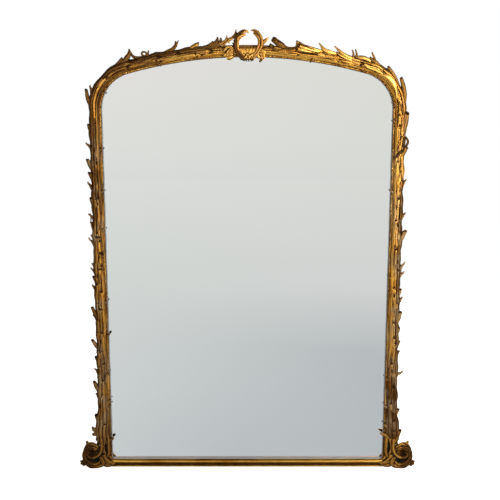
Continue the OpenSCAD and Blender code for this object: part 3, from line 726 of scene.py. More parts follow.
print("the pit of a knot is", round(-float(knot(0, 0, 0, 0, 5)), 1), "mm deep")

# %% [markdown]
# The carver took the bark off the side towards the glass and left it on outside. Its edge is a
# small step that wanders. `plates_on` lays all the plates of an arm and keeps the highest, so that
# they overlap like slates.

# %% The old bark and its plates
def rind(s, u, arm):
    """0 on the bare wood near the glass and 1 on the old bark that is left outside."""
    wander = 5 * grain(arm["seed"] + 8, s / 75, s * 0) + 3 * grain(arm["seed"] + 9, s / 22, u / 30)
    limit = arm["bark_u"](s)
    return ease(u - wander, limit + 1.5, limit)


def plates_on(s, u, arm):
    """How far the plates rise, and how deep their grooves and pits are."""
    risen, sunk = np.zeros(s.shape), np.zeros(s.shape)
    for n, row in enumerate(arm["plates"]):
        near = np.abs(s - row[0]) < row[3] + 40
        rise, pit = plate(s[near], u[near], arm["seed"] + 20 + n, *row)
        risen[near] = np.maximum(risen[near], rise)
        sunk[near] = np.minimum(sunk[near], pit)
    return risen, sunk


print("the old bark stands over the bare wood and carries the plates")

# %% [markdown]
# Bark and wear also decide how dull the gilding is, and with them painted light and shade. The old bark
# outside is dull and partly painted shade, the lowest part of each post is painted browner as shade, the
# inner strands are rubbed bright with a painted highlight, as is a strip inside the middle of the arch, and
# cracks, grooves and pits are painted black as shade. Two lengths for each arm say where the painted shade
# at the foot of the post begins and ends. Near the bead and at the outer edge all heights fade out, so that
# the trunk meets its neighbours cleanly.

# %% The whole bark
def bark(s, u, w, arm):
    """Height over the bar, number of the strand and dullness of each point, painted shade and highlight
    included.
    """
    height, strand, crack = strands(s, w, arm["seed"], arm["strand"])
    over = rind(s, u, arm)
    height += 2.2 * over - 1.2 * np.exp(-((over - 0.1) / 0.12) ** 2)
    risen, sunk = plates_on(s, u, arm)
    height = height * (1 - 0.35 * (risen > 0.3)) + risen + sunk * (risen < 0.8)
    for row in arm["knots"]:
        near = np.abs(s - row[0]) < 40
        height[near] += knot(s[near], u[near], *row)
    groove = np.zeros(s.shape)
    for row in arm["lumps"]:
        height += lump(s, u, *row)
        if row[-1] < 0:
            groove = np.maximum(groove, lump(s, u, *row[:4], 1.0))
    quiet = ease(w, 5, -3) * ease(w, GIRTH - 7, GIRTH) * (1 - 0.4 * at_seat(s))
    # Painted shade: darker old bark, and darker towards the foot of each post.
    low = ease(s, *arm["low_ends"])
    dull = np.maximum(over * arm["bark_dull"](s), arm["low"] * low) * (1 - at_seat(s))
    # Painted highlight on the rubbed inner strands, and along the inside of the middle of the arch.
    dull -= arm["bright"](s) * ease(u, 12, 30) * (1 - low) + 0.25 * at_seat(s)
    dull -= 0.6 * ease(u, 14, 22) * ease(s, bough(0.65), bough(0.35))
    # Painted shade in the grooves and pits of the plates, in sunken lumps and cracks, and between the
    # strands.
    pits = 1.1 * np.clip(-sunk / 2.6, 0, 1) * (risen < 0.8)
    patchy = 0.5 + 0.5 * grain(arm["seed"] + 5, s / 50, w / 20)
    dull += groove + pits + 0.95 * crack * patchy * ease(w, 9, 4)
    return np.clip(height * quiet, -5, 7), strand, dull


print("bark: strands, old bark, plates, knots and lumps")

# %% [markdown]
# One sheet of points every two millimetres or so, bent over the bar and closed behind with two
# more lines of points, makes a closed trunk.

# %% A trunk's closed skin
STEP, ROUND = 2.2, 84


def trunk_skin(start, end, arm):
    rows = np.linspace(start, end, int(math.ceil((end - start) / STEP)) + 1)
    s, turn = np.meshgrid(rows, even_turns(ROUND), indexing="ij")
    w = np.broadcast_to(np.linspace(0, GIRTH, ROUND), s.shape)
    _, u = bar(s, turn, arm["phase"])
    height, strand, dull = bark(s, u, w, arm)
    sheet = raised(s, turn, arm["phase"], height)
    behind = [on_edge(rows, uu, FACE_Y)[:, None] for uu in (wavy_out(rows, arm["phase"]) - 1, INNER)]
    marks = np.stack([s, w, 3.7 * strand + arm["seed"], dull], -1)
    return loft(np.concatenate([sheet] + behind, axis=1),
                np.concatenate([marks, marks[:, -1:], marks[:, :1]], axis=1))


print(ROUND, "points round and one row every", STEP, "mm")

# %% [markdown]
# ## Limbs
# What stands off the trunk is a bent, tapering limb. It follows a smooth path through a few
# rows that are given, each with a place and two half sizes. No limb may stand out in
# front of the CAD model's box or sink into the carcass, so `FRONT_Y` and `BACK_Y` bound them all.

# %% A smooth path
FRONT_Y, BACK_Y = -51.2, -16.1


def smooth_path(points, steps):
    """A Catmull-Rom line through rows of any width."""
    p = np.asarray(points, float)
    rows = []
    for i in range(len(p) - 1):
        a, b, c, d = p[max(i - 1, 0)], p[i], p[i + 1], p[min(i + 2, len(p) - 1)]
        t = (np.arange(steps) / steps)[:, None]
        rows.append((2 * b + (c - a) * t + (2 * a - 5 * b + 4 * c - d) * t ** 2
                     + (3 * b - a - 3 * c + d) * t ** 3) / 2)
    return np.concatenate(rows + [p[-1:]])


print("three rows in four steps give", len(smooth_path([(0, 0), (1, 1), (2, 0)], 4)), "places")

# %% [markdown]
# Where a branch was broken off, the limb ends in a torn rim round a hollow. That takes three more
# rings: a jagged rim, the lip inside it and the bottom of the hollow. The rim is rubbed bright and
# the hollow is painted dark as shade.

# %% A torn end
def torn(rings, marks, middle, ahead, slanted, r, ragged):
    """Three more rings: a jagged rim, the lip inside it and the bottom of the hollow."""
    out = rings[-1] - middle
    jag = ragged * min(r, 6) * 0.45
    tilt = out @ (np.array([0, 0.7, 0]) - slanted)
    rim = rings[-1] + ahead * (jag + tilt + 0.5)[:, None]
    lip = middle + out * 0.72 + ahead * (0.75 * tilt + 0.4 * jag)[:, None]
    pit = middle + out * 0.35 + ahead * (0.3 * tilt - 0.8 * r)[:, None]
    # The rim is rubbed brighter and the hollow is painted darker, as shade.
    inside = marks[-1:] + (0, 0, 0, 0.6)
    marks = np.concatenate([marks, marks[-1:] - (0, 0, 0, 0.4), inside, inside])
    return np.concatenate([rings, [rim, lip, pit]]), marks


print("a torn end: rim, lip and hollow")

# %% [markdown]
# Thorns, scrolls and leaves just run out. A channel down the front gives a limb raised edges, and a
# negative one a rib. The rings are carried along the path without twisting: each lies across the
# way ahead, with its depth as near to the front as that allows.

# %% A limb
def limb(rows, seed, steps=5, sides=16, ribs=5, rib=0.14, end="point", channel=0.0, slant=0.0,
         spin=0.3, dull=0.0):
    """rows are [x, y, z, half width, half depth].

    ribs is how many ridges run round it, rib how strong they are and spin how far they wind;
    slant tilts a torn end, and the last argument marks the gilding, painted shade and highlight included.
    """
    path = smooth_path(rows, steps)
    centre, size = path[:, :3], np.maximum(path[:, 3:], 0.3)
    ahead = np.gradient(centre, axis=0)
    ahead /= np.linalg.norm(ahead, axis=1, keepdims=True) + 1e-9
    across = np.cross(ahead, (0, 1, 0))
    across /= np.linalg.norm(across, axis=1, keepdims=True) + 1e-9
    deep = np.cross(across, ahead)
    turn = 2 * np.pi * (np.arange(sides) + 0.5) / sides
    length = np.concatenate([[0], np.cumsum(np.linalg.norm(np.diff(centre, axis=0), axis=1))])
    along = length[:, None]
    ridge = np.abs(np.sin(ribs * (turn[None] + spin * np.sin(along / 23 + seed)) / 2))
    rough = 1 + rib * (ridge - 0.6) * 1.8 + 0.08 * grain(seed, along / 8, turn[None] * 1.3)
    front = (np.sin(turn) < 0) * np.exp(-(np.cos(turn) / 0.5) ** 2)
    depth = size[:, 1:2] * rough * np.sin(turn) * (1 - channel * front)
    rings = (centre[:, None] + across[:, None] * (size[:, :1] * rough * np.cos(turn))[..., None]
             + deep[:, None] * depth[..., None])
    facet = np.floor(ribs * turn[None] / (2 * np.pi))
    marks = np.stack(np.broadcast_arrays(along, turn[None] * 5, seed % 50 + 3.7 * facet, dull), -1)
    if end == "torn":
        ragged = grain(seed + 7, turn * 1.9, turn * 0 + 3.3)
        rings, marks = torn(rings, marks, centre[-1], ahead[-1], slant * across[-1], size[-1].mean(), ragged)
    rings[..., 1] = np.clip(rings[..., 1], FRONT_Y, BACK_Y)
    return loft(rings, marks)


print("a straight thorn has", len(limb([(0, 0, 0, 4, 4), (0, 0, 20, 1, 1)], 1)[1]), "faces")

# %% [markdown]
# On the arms, a limb's rows are given along the edge. A stub on the outer edge takes four
# numbers from the CAD model: where it is rooted, how far its tip stands out and leans on towards
# the crest, and its radius. Thick ones are broken off and thin ones are thorns.

# %% Stubs
TORN_FROM_R, STUB_Y = 6, FACE_Y - 16


def arm_limb(rows, arm, seed, **shape):
    """A limb through rows of [s, u, y, half width, half depth]."""
    shape.setdefault("dull", arm["twig_dull"])
    return limb([[*on_edge(s, u, y), w, d] for s, u, y, w, d in rows], arm["seed"] + seed, **shape)


def stub(s, reach, rise, r, arm):
    out = float(trunk_out(s))
    fat = r + 1.5
    if r >= TORN_FROM_R:
        return arm_limb([
            (s - 46, out - fat - 8, FACE_Y - 11, fat * 0.6, fat * 0.6),
            (s - 20, out - fat - 3, FACE_Y - 13, fat, fat),
            (s - 2, out - r + 0.4 * reach, FACE_Y - 15, fat, fat),
            (s + rise, out + reach - 0.8 * r, STUB_Y, r, r)], arm, int(s), end="torn", slant=0.4)
    lean = 0.5 * rise - 0.35 * reach
    return arm_limb([
        (s - 26 - r, out - fat - 6, FACE_Y - 11, fat * 0.7, fat * 0.7),
        (s - 8, out - fat * 0.7 - 1, FACE_Y - 12, fat, fat * 1.05),
        (s + lean, out + 0.3 * reach - 1, FACE_Y - 14, fat * 0.75, fat * 0.8),
        (s + 0.45 * (lean + rise), out + 0.68 * reach, STUB_Y, 0.55 * fat, 0.55 * fat),
        (s + rise, out + reach, STUB_Y, 2.2, 2.2)], arm, int(s))


def inner_stub(s, reach, rise, r, arm):
    """A stub that comes in over the bead and points at the glass."""
    y = FACE_Y - BEAD_H - r + 2
    if reach < 7:
        rows = [
            (s - 9, BEAD_W + 6, y, r * 0.8, r), (s - 3, BEAD_W - 2, y, r, r),
            (s + rise * 0.2, 2, y + 1, r * 0.7, r * 0.7), (s + rise * 0.35, -0.7 * reach, y + 1, 1.2, 1.2)]
    else:
        rows = [
            (s - 14, BEAD_W + 12, y - 1, r, r), (s - 4, BEAD_W + 3, y, r * 1.2, r),
            (s + rise * 0.5, -reach * 0.4, y, r * 0.8, r * 0.8),
            (s + rise * 0.8, -reach * 0.9, y, r * 0.4, r * 0.4)]
    return arm_limb(rows, arm, int(s) + 3)


print("stubs are broken off from a radius of", TORN_FROM_R, "mm, and thorns below it")

# %% [markdown]
# A flap is a strip of bark that has come away and lifts towards the crest. It has a ragged end and
# is thinnest there. A vine is a thin limb that follows the surface of the bark.

# %% Flaps and vines
def flap(s, u, length, width, lift, arm, drift=0.0):
    t = np.linspace(0, 1, 13)
    centre_s = s + length * t
    centre_u = u + drift * t
    height = -3.0 + 3.4 * np.minimum(t * 3, 1) + lift * t ** 1.7
    wide = width * (0.75 + 0.5 * t - 0.95 * t ** 4)
    thick = 2.4 - 1.2 * t
    side = np.linspace(-1, 1, 9)
    arch = 1.5 * (1 - side ** 2) + 0.5 * np.cos(side * 9)
    rings = []
    for k in range(len(t)):
        ragged = 3.0 * grain(arm["seed"] + int(s), side * 2.1 + 5, side * 0 + 0.5) * ease(t[k], 1, 0.7)
        turn = turn_at(centre_s[k], centre_u[k] + wide[k] * side, arm["phase"])
        top = raised(centre_s[k] + ragged, turn, arm["phase"], height[k] + arch)
        under = raised(centre_s[k] + ragged, turn, arm["phase"], height[k] + arch - thick[k])
        rings.append(np.concatenate([top, under[::-1]]))
    marks = np.stack(np.broadcast_arrays(
        centre_s[:, None], np.concatenate([side, side[::-1]]) * width, 9.0, 0.5 * arm["twig_dull"]), -1)
    rings = np.array(rings)
    rings[..., 1] = np.clip(rings[..., 1], FRONT_Y, BACK_Y)
    return loft(rings, marks)


def vine(rows, arm, seed, r, dull=1.0):
    """Through rows of [s, u, height over the bar]."""
    line = smooth_path(rows, 4)
    places = []
    for n, (s, u, h) in enumerate(line):
        inside = np.clip(u, INNER + 1, float(trunk_out(s)) - 3)
        turn = turn_at(np.array([s]), np.array([inside]), arm["phase"])
        at = raised(np.array([s]), turn, arm["phase"], np.array([h]))[0]
        at = at + on_edge(s, u, 0) - on_edge(s, inside, 0)
        thin = r * (1 - 0.45 * n / len(line))
        places.append([*at, thin, thin])
    return limb(places, seed, steps=1, sides=9, ribs=3, dull=dull)


print("flaps of 13 rings, vines of 4 steps to a row")

# %% [markdown]
# ## What is carved on each arm
# A place is a share of the post's length or of the bough's, as in the CAD model. `on` turns rows
# that start with such a share into rows that start with millimetres, and `cracks` does the same
# for long cracks, which differ only in where they lie and how long they are.

# %% Places on an arm
def post(share):
    return share * POST_L


def bough(share):
    return POST_L + share * BOUGH_L


def on(part, rows):
    return [(part(share), *rest) for share, *rest in rows]


def cracks(part, wide, height, rows):
    return [(part(share), u, long, wide, height) for share, u, long in rows]


print("half way up the post is", round(post(0.5)), "mm, half way along the bough", round(bough(0.5)), "mm")

# %% [markdown]
# Each arm is a dictionary. `bark_u` is how far out the old bark begins, and the next entry how dull the bark
# is, partly as painted shade. The entry after it is how far the inner strands are rubbed bright and given a
# painted highlight, and `low` how much painted shade darkens the foot of the post. The twigs are painted
# darker on the left, as shade. The left arm is in the shade and painted browner. Its bark has a wavy edge
# and most of its post is painted dull as shade, while the right arm is painted bright nearly down to the
# foot.

# %% The two arms
left_arm = {
    "seed": 101, "phase": 0.0, "strand": 12.0, "twig_dull": 1.1, "low": 0.62, "low_ends": (80, 330),
    "bark_u": lambda s: np.interp(
        s / POST_L, (0.7, 0.76, 0.793, 0.826, 0.857, 0.891, 0.922, 0.977, 1.02, 1.1),
        (19, 14, 20, 15, 18, 24, 20, 23, 30, 27)),
    "bark_dull": lambda s: (0.5 + 0.3 * ease(s, post(0.78), post(0.65))
                            - 0.3 * ease(s, bough(0.8), bough(0.5))),
    "bright": lambda s: (-0.1 - 0.35 * ease(s, post(0.8), post(0.7))
                         + 0.75 * ease(s, bough(0.62), bough(0.42)))}
right_arm = {
    "seed": 202, "phase": math.radians(70), "strand": 13.0, "twig_dull": 0.8, "low": 0.92,
    "low_ends": (260, 540),
    "bark_u": lambda s: 31 + 0 * s,
    "bark_dull": lambda s: 0.05 + 0.66 * ease(s, post(0.78), post(0.83)),
    "bright": lambda s: (0.52 + 0.12 * ease(s, post(0.84), post(0.76))
                         + 0.15 * ease(s, bough(0.35), bough(0.1)))}
print("strands", left_arm["strand"], "mm wide on the left and", right_arm["strand"], "mm on the right")

# %% [markdown]
# Rows of stubs are place, reach beyond the edge, rise towards the crest and radius. They were
# read off the photograph one by one, and no two are alike.

# %% Stubs of the left arm
left_arm["stubs"] = on(post, [
    (0.13, 4, 8, 8), (0.198, 3, 8, 4), (0.22, 13, 22, 7), (0.27, 7, 12, 4), (0.305, 4, 6, 6),
    (0.348, 17, 16, 6), (0.428, 8, 10, 4), (0.44, 14, 20, 6), (0.51, 6, 16, 5), (0.54, 4, 4, 6),
    (0.56, 10, 14, 4), (0.575, 5, 10, 4), (0.64, 14, 20, 4), (0.655, 4, 10, 4), (0.693, 6, 6, 4),
    (0.713, 12, 10, 4), (0.755, 3, 8, 7), (0.795, 10, 18, 5), (0.825, 6, 8, 7), (0.853, 12, 19, 6),
    (0.905, 12, 12, 5), (0.955, 3, 8, 6)])
left_arm["stubs"] += on(bough, [
    (0.05, 22, 20, 6), (0.09, 11, 10, 5), (0.27, 12, 10, 5), (0.435, 13, 5, 4)])
left_arm["inner_stubs"] = on(post, [
    (0.06, 11, 12, 6.5), (0.165, 5, 8, 5), (0.18, 5, 12, 4), (0.262, 1, 8, 5), (0.37, 8, 16, 5),
    (0.47, 5, 10, 6), (0.675, 3, 10, 5), (0.78, 3, 10, 5), (0.895, 4, 12, 5)])
left_arm["inner_stubs"] += on(bough, [(0.1, 6, 10, 5), (0.48, 1, 8, 5)])
print(len(left_arm["stubs"]), "stubs outside and", len(left_arm["inner_stubs"]), "inside")

# %% [markdown]
# The right arm has fewer stubs, and they stand out farther.

# %% Stubs of the right arm
right_arm["stubs"] = on(post, [
    (0.084, 4, 8, 7), (0.15, 4, 6, 6), (0.262, 18, 12, 5.5), (0.325, 3, 8, 4), (0.35, 4, 14, 5),
    (0.39, 3, 8, 6), (0.425, 7, 22, 8), (0.475, 7, 16, 5), (0.5, 3, 8, 6), (0.55, 12, 12, 5),
    (0.57, 13, 22, 5), (0.655, 15, 22, 8), (0.715, 8, 12, 5), (0.805, 7, 14, 4), (0.893, 9, 8, 8)])
right_arm["stubs"] += on(bough, [
    (0.385, 26, 3, 4), (0.400, 21, 4, 4), (0.283, 31, 8, 5), (0.855, 10, 8, 6)])
right_arm["inner_stubs"] = on(post, [
    (0.075, 16, 12, 6), (0.105, 5, 10, 5), (0.162, 3, 10, 5), (0.245, 4, 10, 5), (0.54, 1, 12, 5),
    (0.78, 6, 14, 5), (0.97, 1, 12, 5)])
right_arm["inner_stubs"] += on(bough, [(0.04, 1, 8, 5), (0.62, 3, 10, 6)])
print(len(right_arm["stubs"]), "stubs outside and", len(right_arm["inner_stubs"]), "inside")

# %% [markdown]
# Plates are tip, middle, half width, length, lift and drift. Flaps are place, middle, length,
# half width, lift and drift. Knots are place, middle and radius, and lumps are place, middle,
# length, width and height. The order of the plates counts, because each one's grain comes from
# its number.

# %% Bark of the left arm
left_arm["plates"] = on(bough, [
    (0.17, 24, 10, 110, 4.0, -8), (0.30, 37, 12, 90, 4.0, 4), (0.49, 13, 8, 160, 3.5, -6),
    (0.49, 30, 8, 90, 3.0, 4), (0.60, 22, 6, 80, 4.0, 3), (0.73, 15, 7, 90, 4.0, 0),
    (0.79, 27, 7, 60, 4.5, 0), (0.11, 27, 6, 120, 4.5, 5)])
left_arm["plates"] += on(post, [
    (0.9, 40, 9, 90, 3.0, 0), (0.76, 20, 7, 120, 3.5, 0), (0.665, 28, 7, 60, 4.0, 0),
    (0.642, 17, 7, 50, 4.5, 0), (0.607, 17, 8, 45, 4.5, 3), (0.572, 16, 8, 50, 5.0, 0),
    (0.497, 18, 8, 60, 4.5, 0), (0.42, 36, 8, 60, 4.0, 0), (0.29, 18, 8, 60, 4.0, 0),
    (0.52, 38, 10, 90, 3.0, 3), (0.45, 28, 8, 90, 3.0, -4), (0.38, 22, 8, 90, 3.0, 3),
    (0.33, 42, 9, 80, 3.0, 3), (0.24, 24, 9, 80, 3.5, 4), (0.16, 42, 10, 60, 3.0, 0),
    (0.11, 22, 9, 50, 3.0, 0)])
left_arm["flaps"] = on(bough, [
    (0.1, 30, 40, 6, 5), (0.25, 34, 42, 7, 7), (0.55, 22, 40, 5, 4)])
left_arm["flaps"] += on(post, [
    (0.87, 20, 36, 5, 4), (0.73, 30, 40, 5, 5), (0.5, 26, 36, 6, 4), (0.3, 34, 36, 6, 5),
    (0.18, 26, 30, 6, 4)])
left_arm["knots"] = on(post, [
    (0.892, 24, 6), (0.858, 20, 4), (0.828, 39, 7), (0.747, 21, 5), (0.6, 22, 5), (0.545, 33, 6),
    (0.36, 26, 7), (0.2, 30, 6)])
left_arm["knots"] += on(bough, [
    (0.607, 30, 6), (0.62, 13, 5), (0.79, 21, 7)])
left_arm["lumps"] = on(post, [
    (0.842, 40, 12, 8, 3.5), (0.958, 38, 8, 6, 3.5), (0.35, 20, 25, 12, 2.5), (0.655, 26, 5, 9, -3.5),
    (0.61, 14, 4, 8, -4), (0.565, 17, 5, 9, -4), (0.45, 22, 4, 8, -4), (0.12, 30, 20, 20, 2.0)])
left_arm["lumps"] += on(bough, [
    (0.34, 45, 20, 10, 3.0), (0.66, 35, 25, 12, 2.5), (0.487, 32, 8, 12, -2.5), (0.47, 18, 5, 7, -2.5),
    (0.30, 24, 9, 8, -2.5), (0.60, 34, 6, 7, -3.0), (0.79, 30, 7, 7, -3.0), (0.70, 20, 5, 6, -2.5)])
left_arm["lumps"] += cracks(bough, 2.0, -3.5, [
    (0.08, 17, 35), (0.16, 31, 30), (0.24, 18, 30), (0.37, 27, 25), (0.43, 17, 20), (0.54, 22, 25),
    (0.65, 27, 22), (0.74, 17, 25), (0.84, 27, 22)])
left_arm["lumps"] += cracks(post, 2.0, -3.5, [
    (0.95, 19, 30), (0.87, 31, 30), (0.80, 17, 30), (0.71, 30, 30), (0.52, 25, 30), (0.40, 17, 30),
    (0.33, 33, 30), (0.25, 18, 25), (0.18, 36, 25)])
print({key: len(left_arm[key]) for key in ("plates", "flaps", "knots", "lumps")}, "on the left arm")

# %% [markdown]
# The right arm's bark is more broken: the cracks are deeper, and the torn plates lie closer.

# %% Bark of the right arm
right_arm["plates"] = on(bough, [
    (0.61, 30, 8, 110, 4.0, -6), (0.467, 17, 6, 60, 5.0, -4), (0.57, 40, 9, 60, 4.0, 4),
    (0.315, 30, 8, 60, 5.0, 3), (0.24, 18, 8, 80, 5.0, -6), (0.2, 44, 9, 60, 5.0, 0),
    (0.70, 18, 7, 110, 3.5, -3), (0.80, 30, 8, 90, 4.0, 4), (0.36, 44, 8, 60, 4.5, 4)])
right_arm["plates"] += on(post, [
    (0.985, 20, 8, 90, 3.5, -3), (0.93, 34, 9, 90, 3.5, 4), (0.86, 20, 7, 110, 3.5, 3),
    (0.81, 38, 9, 80, 4.0, 0), (0.76, 28, 9, 60, 4.0, -4), (0.7, 20, 8, 80, 4.0, 3),
    (0.665, 40, 9, 60, 4.0, 3), (0.62, 24, 8, 60, 4.0, -3), (0.56, 36, 9, 60, 4.0, 3),
    (0.51, 22, 9, 60, 4.0, 0), (0.46, 38, 9, 80, 4.0, 4), (0.41, 24, 9, 60, 3.5, -3),
    (0.35, 36, 9, 80, 4.0, 3), (0.29, 22, 9, 80, 3.5, 3), (0.22, 33, 10, 80, 3.0, 3),
    (0.17, 24, 9, 60, 3.5, 0), (0.12, 38, 10, 50, 3.5, 0)])
right_arm["flaps"] = on(bough, [
    (0.15, 38, 44, 6, 6), (0.33, 40, 40, 7, 6), (0.38, 22, 50, 6, 6, -5), (0.54, 28, 36, 6, 5),
    (0.76, 24, 40, 6, 5)])
right_arm["flaps"] += on(post, [
    (0.93, 34, 40, 6, 6), (0.8, 30, 40, 6, 6), (0.715, 24, 34, 6, 6), (0.64, 34, 40, 6, 7),
    (0.53, 24, 34, 7, 6), (0.44, 34, 40, 7, 6), (0.34, 24, 36, 6, 5), (0.24, 32, 36, 7, 6),
    (0.15, 24, 34, 6, 5)])
right_arm["knots"] = on(post, [
    (0.958, 22, 7), (0.835, 33, 5), (0.69, 27, 6), (0.63, 20, 5), (0.585, 33, 6), (0.49, 24, 6),
    (0.37, 28, 5), (0.27, 24, 5), (0.14, 34, 6)])
right_arm["knots"] += on(bough, [
    (0.094, 25, 5), (0.568, 46, 6), (0.562, 36, 5)])
right_arm["lumps"] = on(post, [
    (0.885, 49, 30, 7, 5.0), (0.817, 50, 16, 7, 5.0), (0.55, 24, 16, 12, 3.0), (0.25, 30, 25, 14, 2.0)])
right_arm["lumps"] += on(bough, [
    (0.3, 24, 18, 9, 3.0), (0.7, 30, 30, 12, 2.0), (0.705, 29, 20, 6, -6), (0.665, 28, 26, 5, -5),
    (0.63, 26, 22, 3.5, -4), (0.835, 29, 16, 6, -5), (0.475, 43, 12, 5, -5), (0.452, 34, 10, 4, -5),
    (0.44, 13, 7, 5, -4), (0.335, 24, 8, 5, -5), (0.285, 50, 8, 5, -5)])
right_arm["lumps"] += cracks(bough, 2.2, -4.5, [
    (0.03, 17, 45), (0.07, 31, 35), (0.14, 14, 40), (0.17, 25, 30), (0.25, 17, 35), (0.31, 33, 25),
    (0.36, 17, 30), (0.42, 24, 25), (0.53, 19, 30), (0.58, 27, 22), (0.74, 21, 40), (0.78, 35, 25)])
right_arm["lumps"] += cracks(post, 2.2, -4.5, [
    (0.97, 15, 30), (0.94, 27, 35), (0.90, 17, 30), (0.85, 29, 35), (0.79, 18, 30), (0.72, 34, 35),
    (0.60, 18, 30), (0.53, 32, 35), (0.47, 18, 30), (0.39, 33, 35), (0.31, 18, 30), (0.20, 34, 35)])
print({key: len(right_arm[key]) for key in ("plates", "flaps", "knots", "lumps")}, "on the right arm")

# %% [markdown]
# The large broken branches of the arch are one of a kind, so each is drawn one by one, as rows of
# length, distance outwards, depth and the two half widths.

# %% Branches of the right bough
def drawn(rows, arm, seed, **shape):
    return arm_limb(on(bough, rows), arm, seed, **shape)


right_branches = [
    drawn([
        (0.765, 38, -28, 5, 5), (0.790, 42, -31, 8, 8), (0.808, 48, -34, 11, 10),
        (0.828, 54, -36, 11, 11), (0.853, 66, -36, 10.5, 10.5)], right_arm, 1, end="torn", slant=0.15,
        ribs=5, rib=0.1, sides=28, dull=0.95),
    drawn([
        (0.80, 34, -31, 4, 4), (0.83, 35, -37, 5.5, 5), (0.852, 38, -38, 6, 5.5)], right_arm, 11,
        end="torn", dull=0.8),
    drawn([
        (0.53, 38, -27, 5, 5), (0.60, 41, -33, 9, 9), (0.655, 42, -37, 13, 11),
        (0.69, 44, -38.5, 15, 12), (0.714, 48, -38.5, 18, 12)], right_arm, 2, end="torn", slant=0.12,
        ribs=6, rib=0.12, sides=36, dull=0.05),
    drawn([
        (0.70, 57, -36, 7, 8), (0.716, 63, -36, 5, 7), (0.723, 69, -35, 2, 3)], right_arm, 3, dull=0.0),
    drawn([
        (0.45, 40, -28, 6, 6), (0.50, 42, -33, 8, 8), (0.555, 47, -36, 8, 8), (0.577, 58, -35, 5, 6),
        (0.596, 71, -32, 2, 2)], right_arm, 4, ribs=4, dull=0.35),
    drawn([
        (0.37, 36, -34, 6, 5), (0.44, 44, -40, 6.5, 6), (0.475, 55, -39, 5.5, 6),
        (0.507, 69, -33, 2, 2.5)], right_arm, 5, ribs=4, dull=0.45),
    drawn([
        (0.39, 30, -38, 5, 4), (0.45, 37, -44, 4.5, 4), (0.475, 43, -44, 4, 4),
        (0.491, 50, -40, 1.8, 1.8)], right_arm, 6, ribs=3, dull=0.3),
    drawn([
        (0.38, 45, -26, 5, 5), (0.345, 50, -29, 8, 8), (0.31, 50, -29, 8, 8), (0.28, 45, -28, 6, 6)],
        right_arm, 12, ribs=5, dull=0.4),
    drawn([
        (0.24, 42, -30, 6, 5), (0.265, 49, -34, 7, 7), (0.28, 53, -34, 6, 6), (0.296, 58, -33, 4, 4)],
        right_arm, 7, end="torn", slant=0.5),
    drawn([
        (0.12, 42, -30, 5, 5), (0.16, 46, -34, 7, 7), (0.19, 51, -34, 7, 7), (0.206, 55, -33, 6, 6)],
        right_arm, 8, end="torn", slant=0.4, ribs=6),
    drawn([
        (0.03, 42, -28, 6, 5), (0.07, 49, -32, 8, 8), (0.105, 55, -33, 8, 8), (0.135, 62, -31, 6, 6.5)],
        right_arm, 9, end="torn", slant=0.6, ribs=6),
    drawn([
        (0.20, 24, -41, 4, 4), (0.25, 21, -45, 4.5, 4), (0.29, 21, -46, 4, 4),
        (0.312, 27, -46, 4.5, 4.5), (0.318, 31, -45, 4, 4)], right_arm, 10, end="torn", slant=0.5,
        dull=0.1),
    drawn([
        (0.06, 15, -38, 4, 4), (0.10, 22, -44, 6, 4.5), (0.148, 27, -46, 8, 5), (0.19, 24, -45, 7, 5),
        (0.225, 16, -41, 4, 4)], right_arm, 13, ribs=3, rib=0.2, sides=20, dull=0.0)]
print(len(right_branches), "branches on the right bough")

# %% [markdown]
# The left bough has slighter branches, which bend up to points. The last one in the list is a
# tendril that curls round to itself.

# %% Branches of the left bough
left_branches = [
    drawn([
        (0.72, 38, -26, 6, 5), (0.78, 43, -29, 9, 8), (0.82, 53, -31, 9, 8), (0.832, 65, -31, 5.5, 5.5),
        (0.834, 76, -30, 2, 2)], left_arm, 1, ribs=6),
    drawn([
        (0.78, 40, -28, 6, 6), (0.83, 47, -32, 9, 8), (0.848, 58, -32, 6, 6), (0.853, 70, -31, 3, 3)],
        left_arm, 2, end="torn", slant=0.6),
    drawn([
        (0.78, 46, -32, 6, 5), (0.80, 54, -34, 5, 5), (0.806, 62, -33, 2.5, 2.5)], left_arm, 3),
    drawn([
        (0.52, 40, -27, 7, 6), (0.565, 48, -30, 8, 7), (0.590, 58, -31, 7, 6), (0.598, 68, -30, 5, 4.5),
        (0.597, 79, -29, 1.6, 1.6)], left_arm, 4, ribs=4),
    drawn([
        (0.585, 56, -30, 5, 5), (0.60, 65, -30, 4.5, 4.5), (0.616, 79, -29, 1.6, 1.6)], left_arm, 5),
    drawn([
        (0.24, 36, -28, 6, 6), (0.285, 44, -31, 9, 8), (0.315, 57, -33, 10, 9), (0.331, 70, -32, 7, 6),
        (0.336, 85, -30, 2.5, 2)], left_arm, 6, ribs=6),
    drawn([
        (0.42, 42, -26, 4, 4), (0.37, 46, -29, 6, 6), (0.35, 52, -31, 6, 6), (0.342, 62, -31, 4.5, 5),
        (0.34, 72, -31, 3, 3)], left_arm, 7, ribs=3),
    drawn([
        (0.25, 44, -29, 6, 6), (0.278, 54, -31, 5.5, 5), (0.284, 63, -31, 2.2, 2.2)], left_arm, 8),
    drawn([
        (0.665, 40, -28, 5, 5), (0.69, 47, -30, 8, 7), (0.710, 53, -31, 8, 7), (0.722, 57, -31, 6, 6)],
        left_arm, 10, end="torn", slant=0.5, dull=0.6),
    drawn([
        (0.44, 40, -27, 4, 4), (0.426, 45, -30, 4, 4), (0.413, 46, -31, 3.8, 3.8),
        (0.400, 50, -31, 3.8, 3.8), (0.398, 57, -31, 3.8, 3.8), (0.407, 61.5, -31, 3.8, 3.8),
        (0.419, 59, -31, 3.6, 3.6), (0.423, 52, -31, 3.4, 3.4), (0.416, 47, -31, 3, 3)], left_arm, 9,
        ribs=3, rib=0.05, sides=12)]
print(len(left_branches), "branches on the left bough")

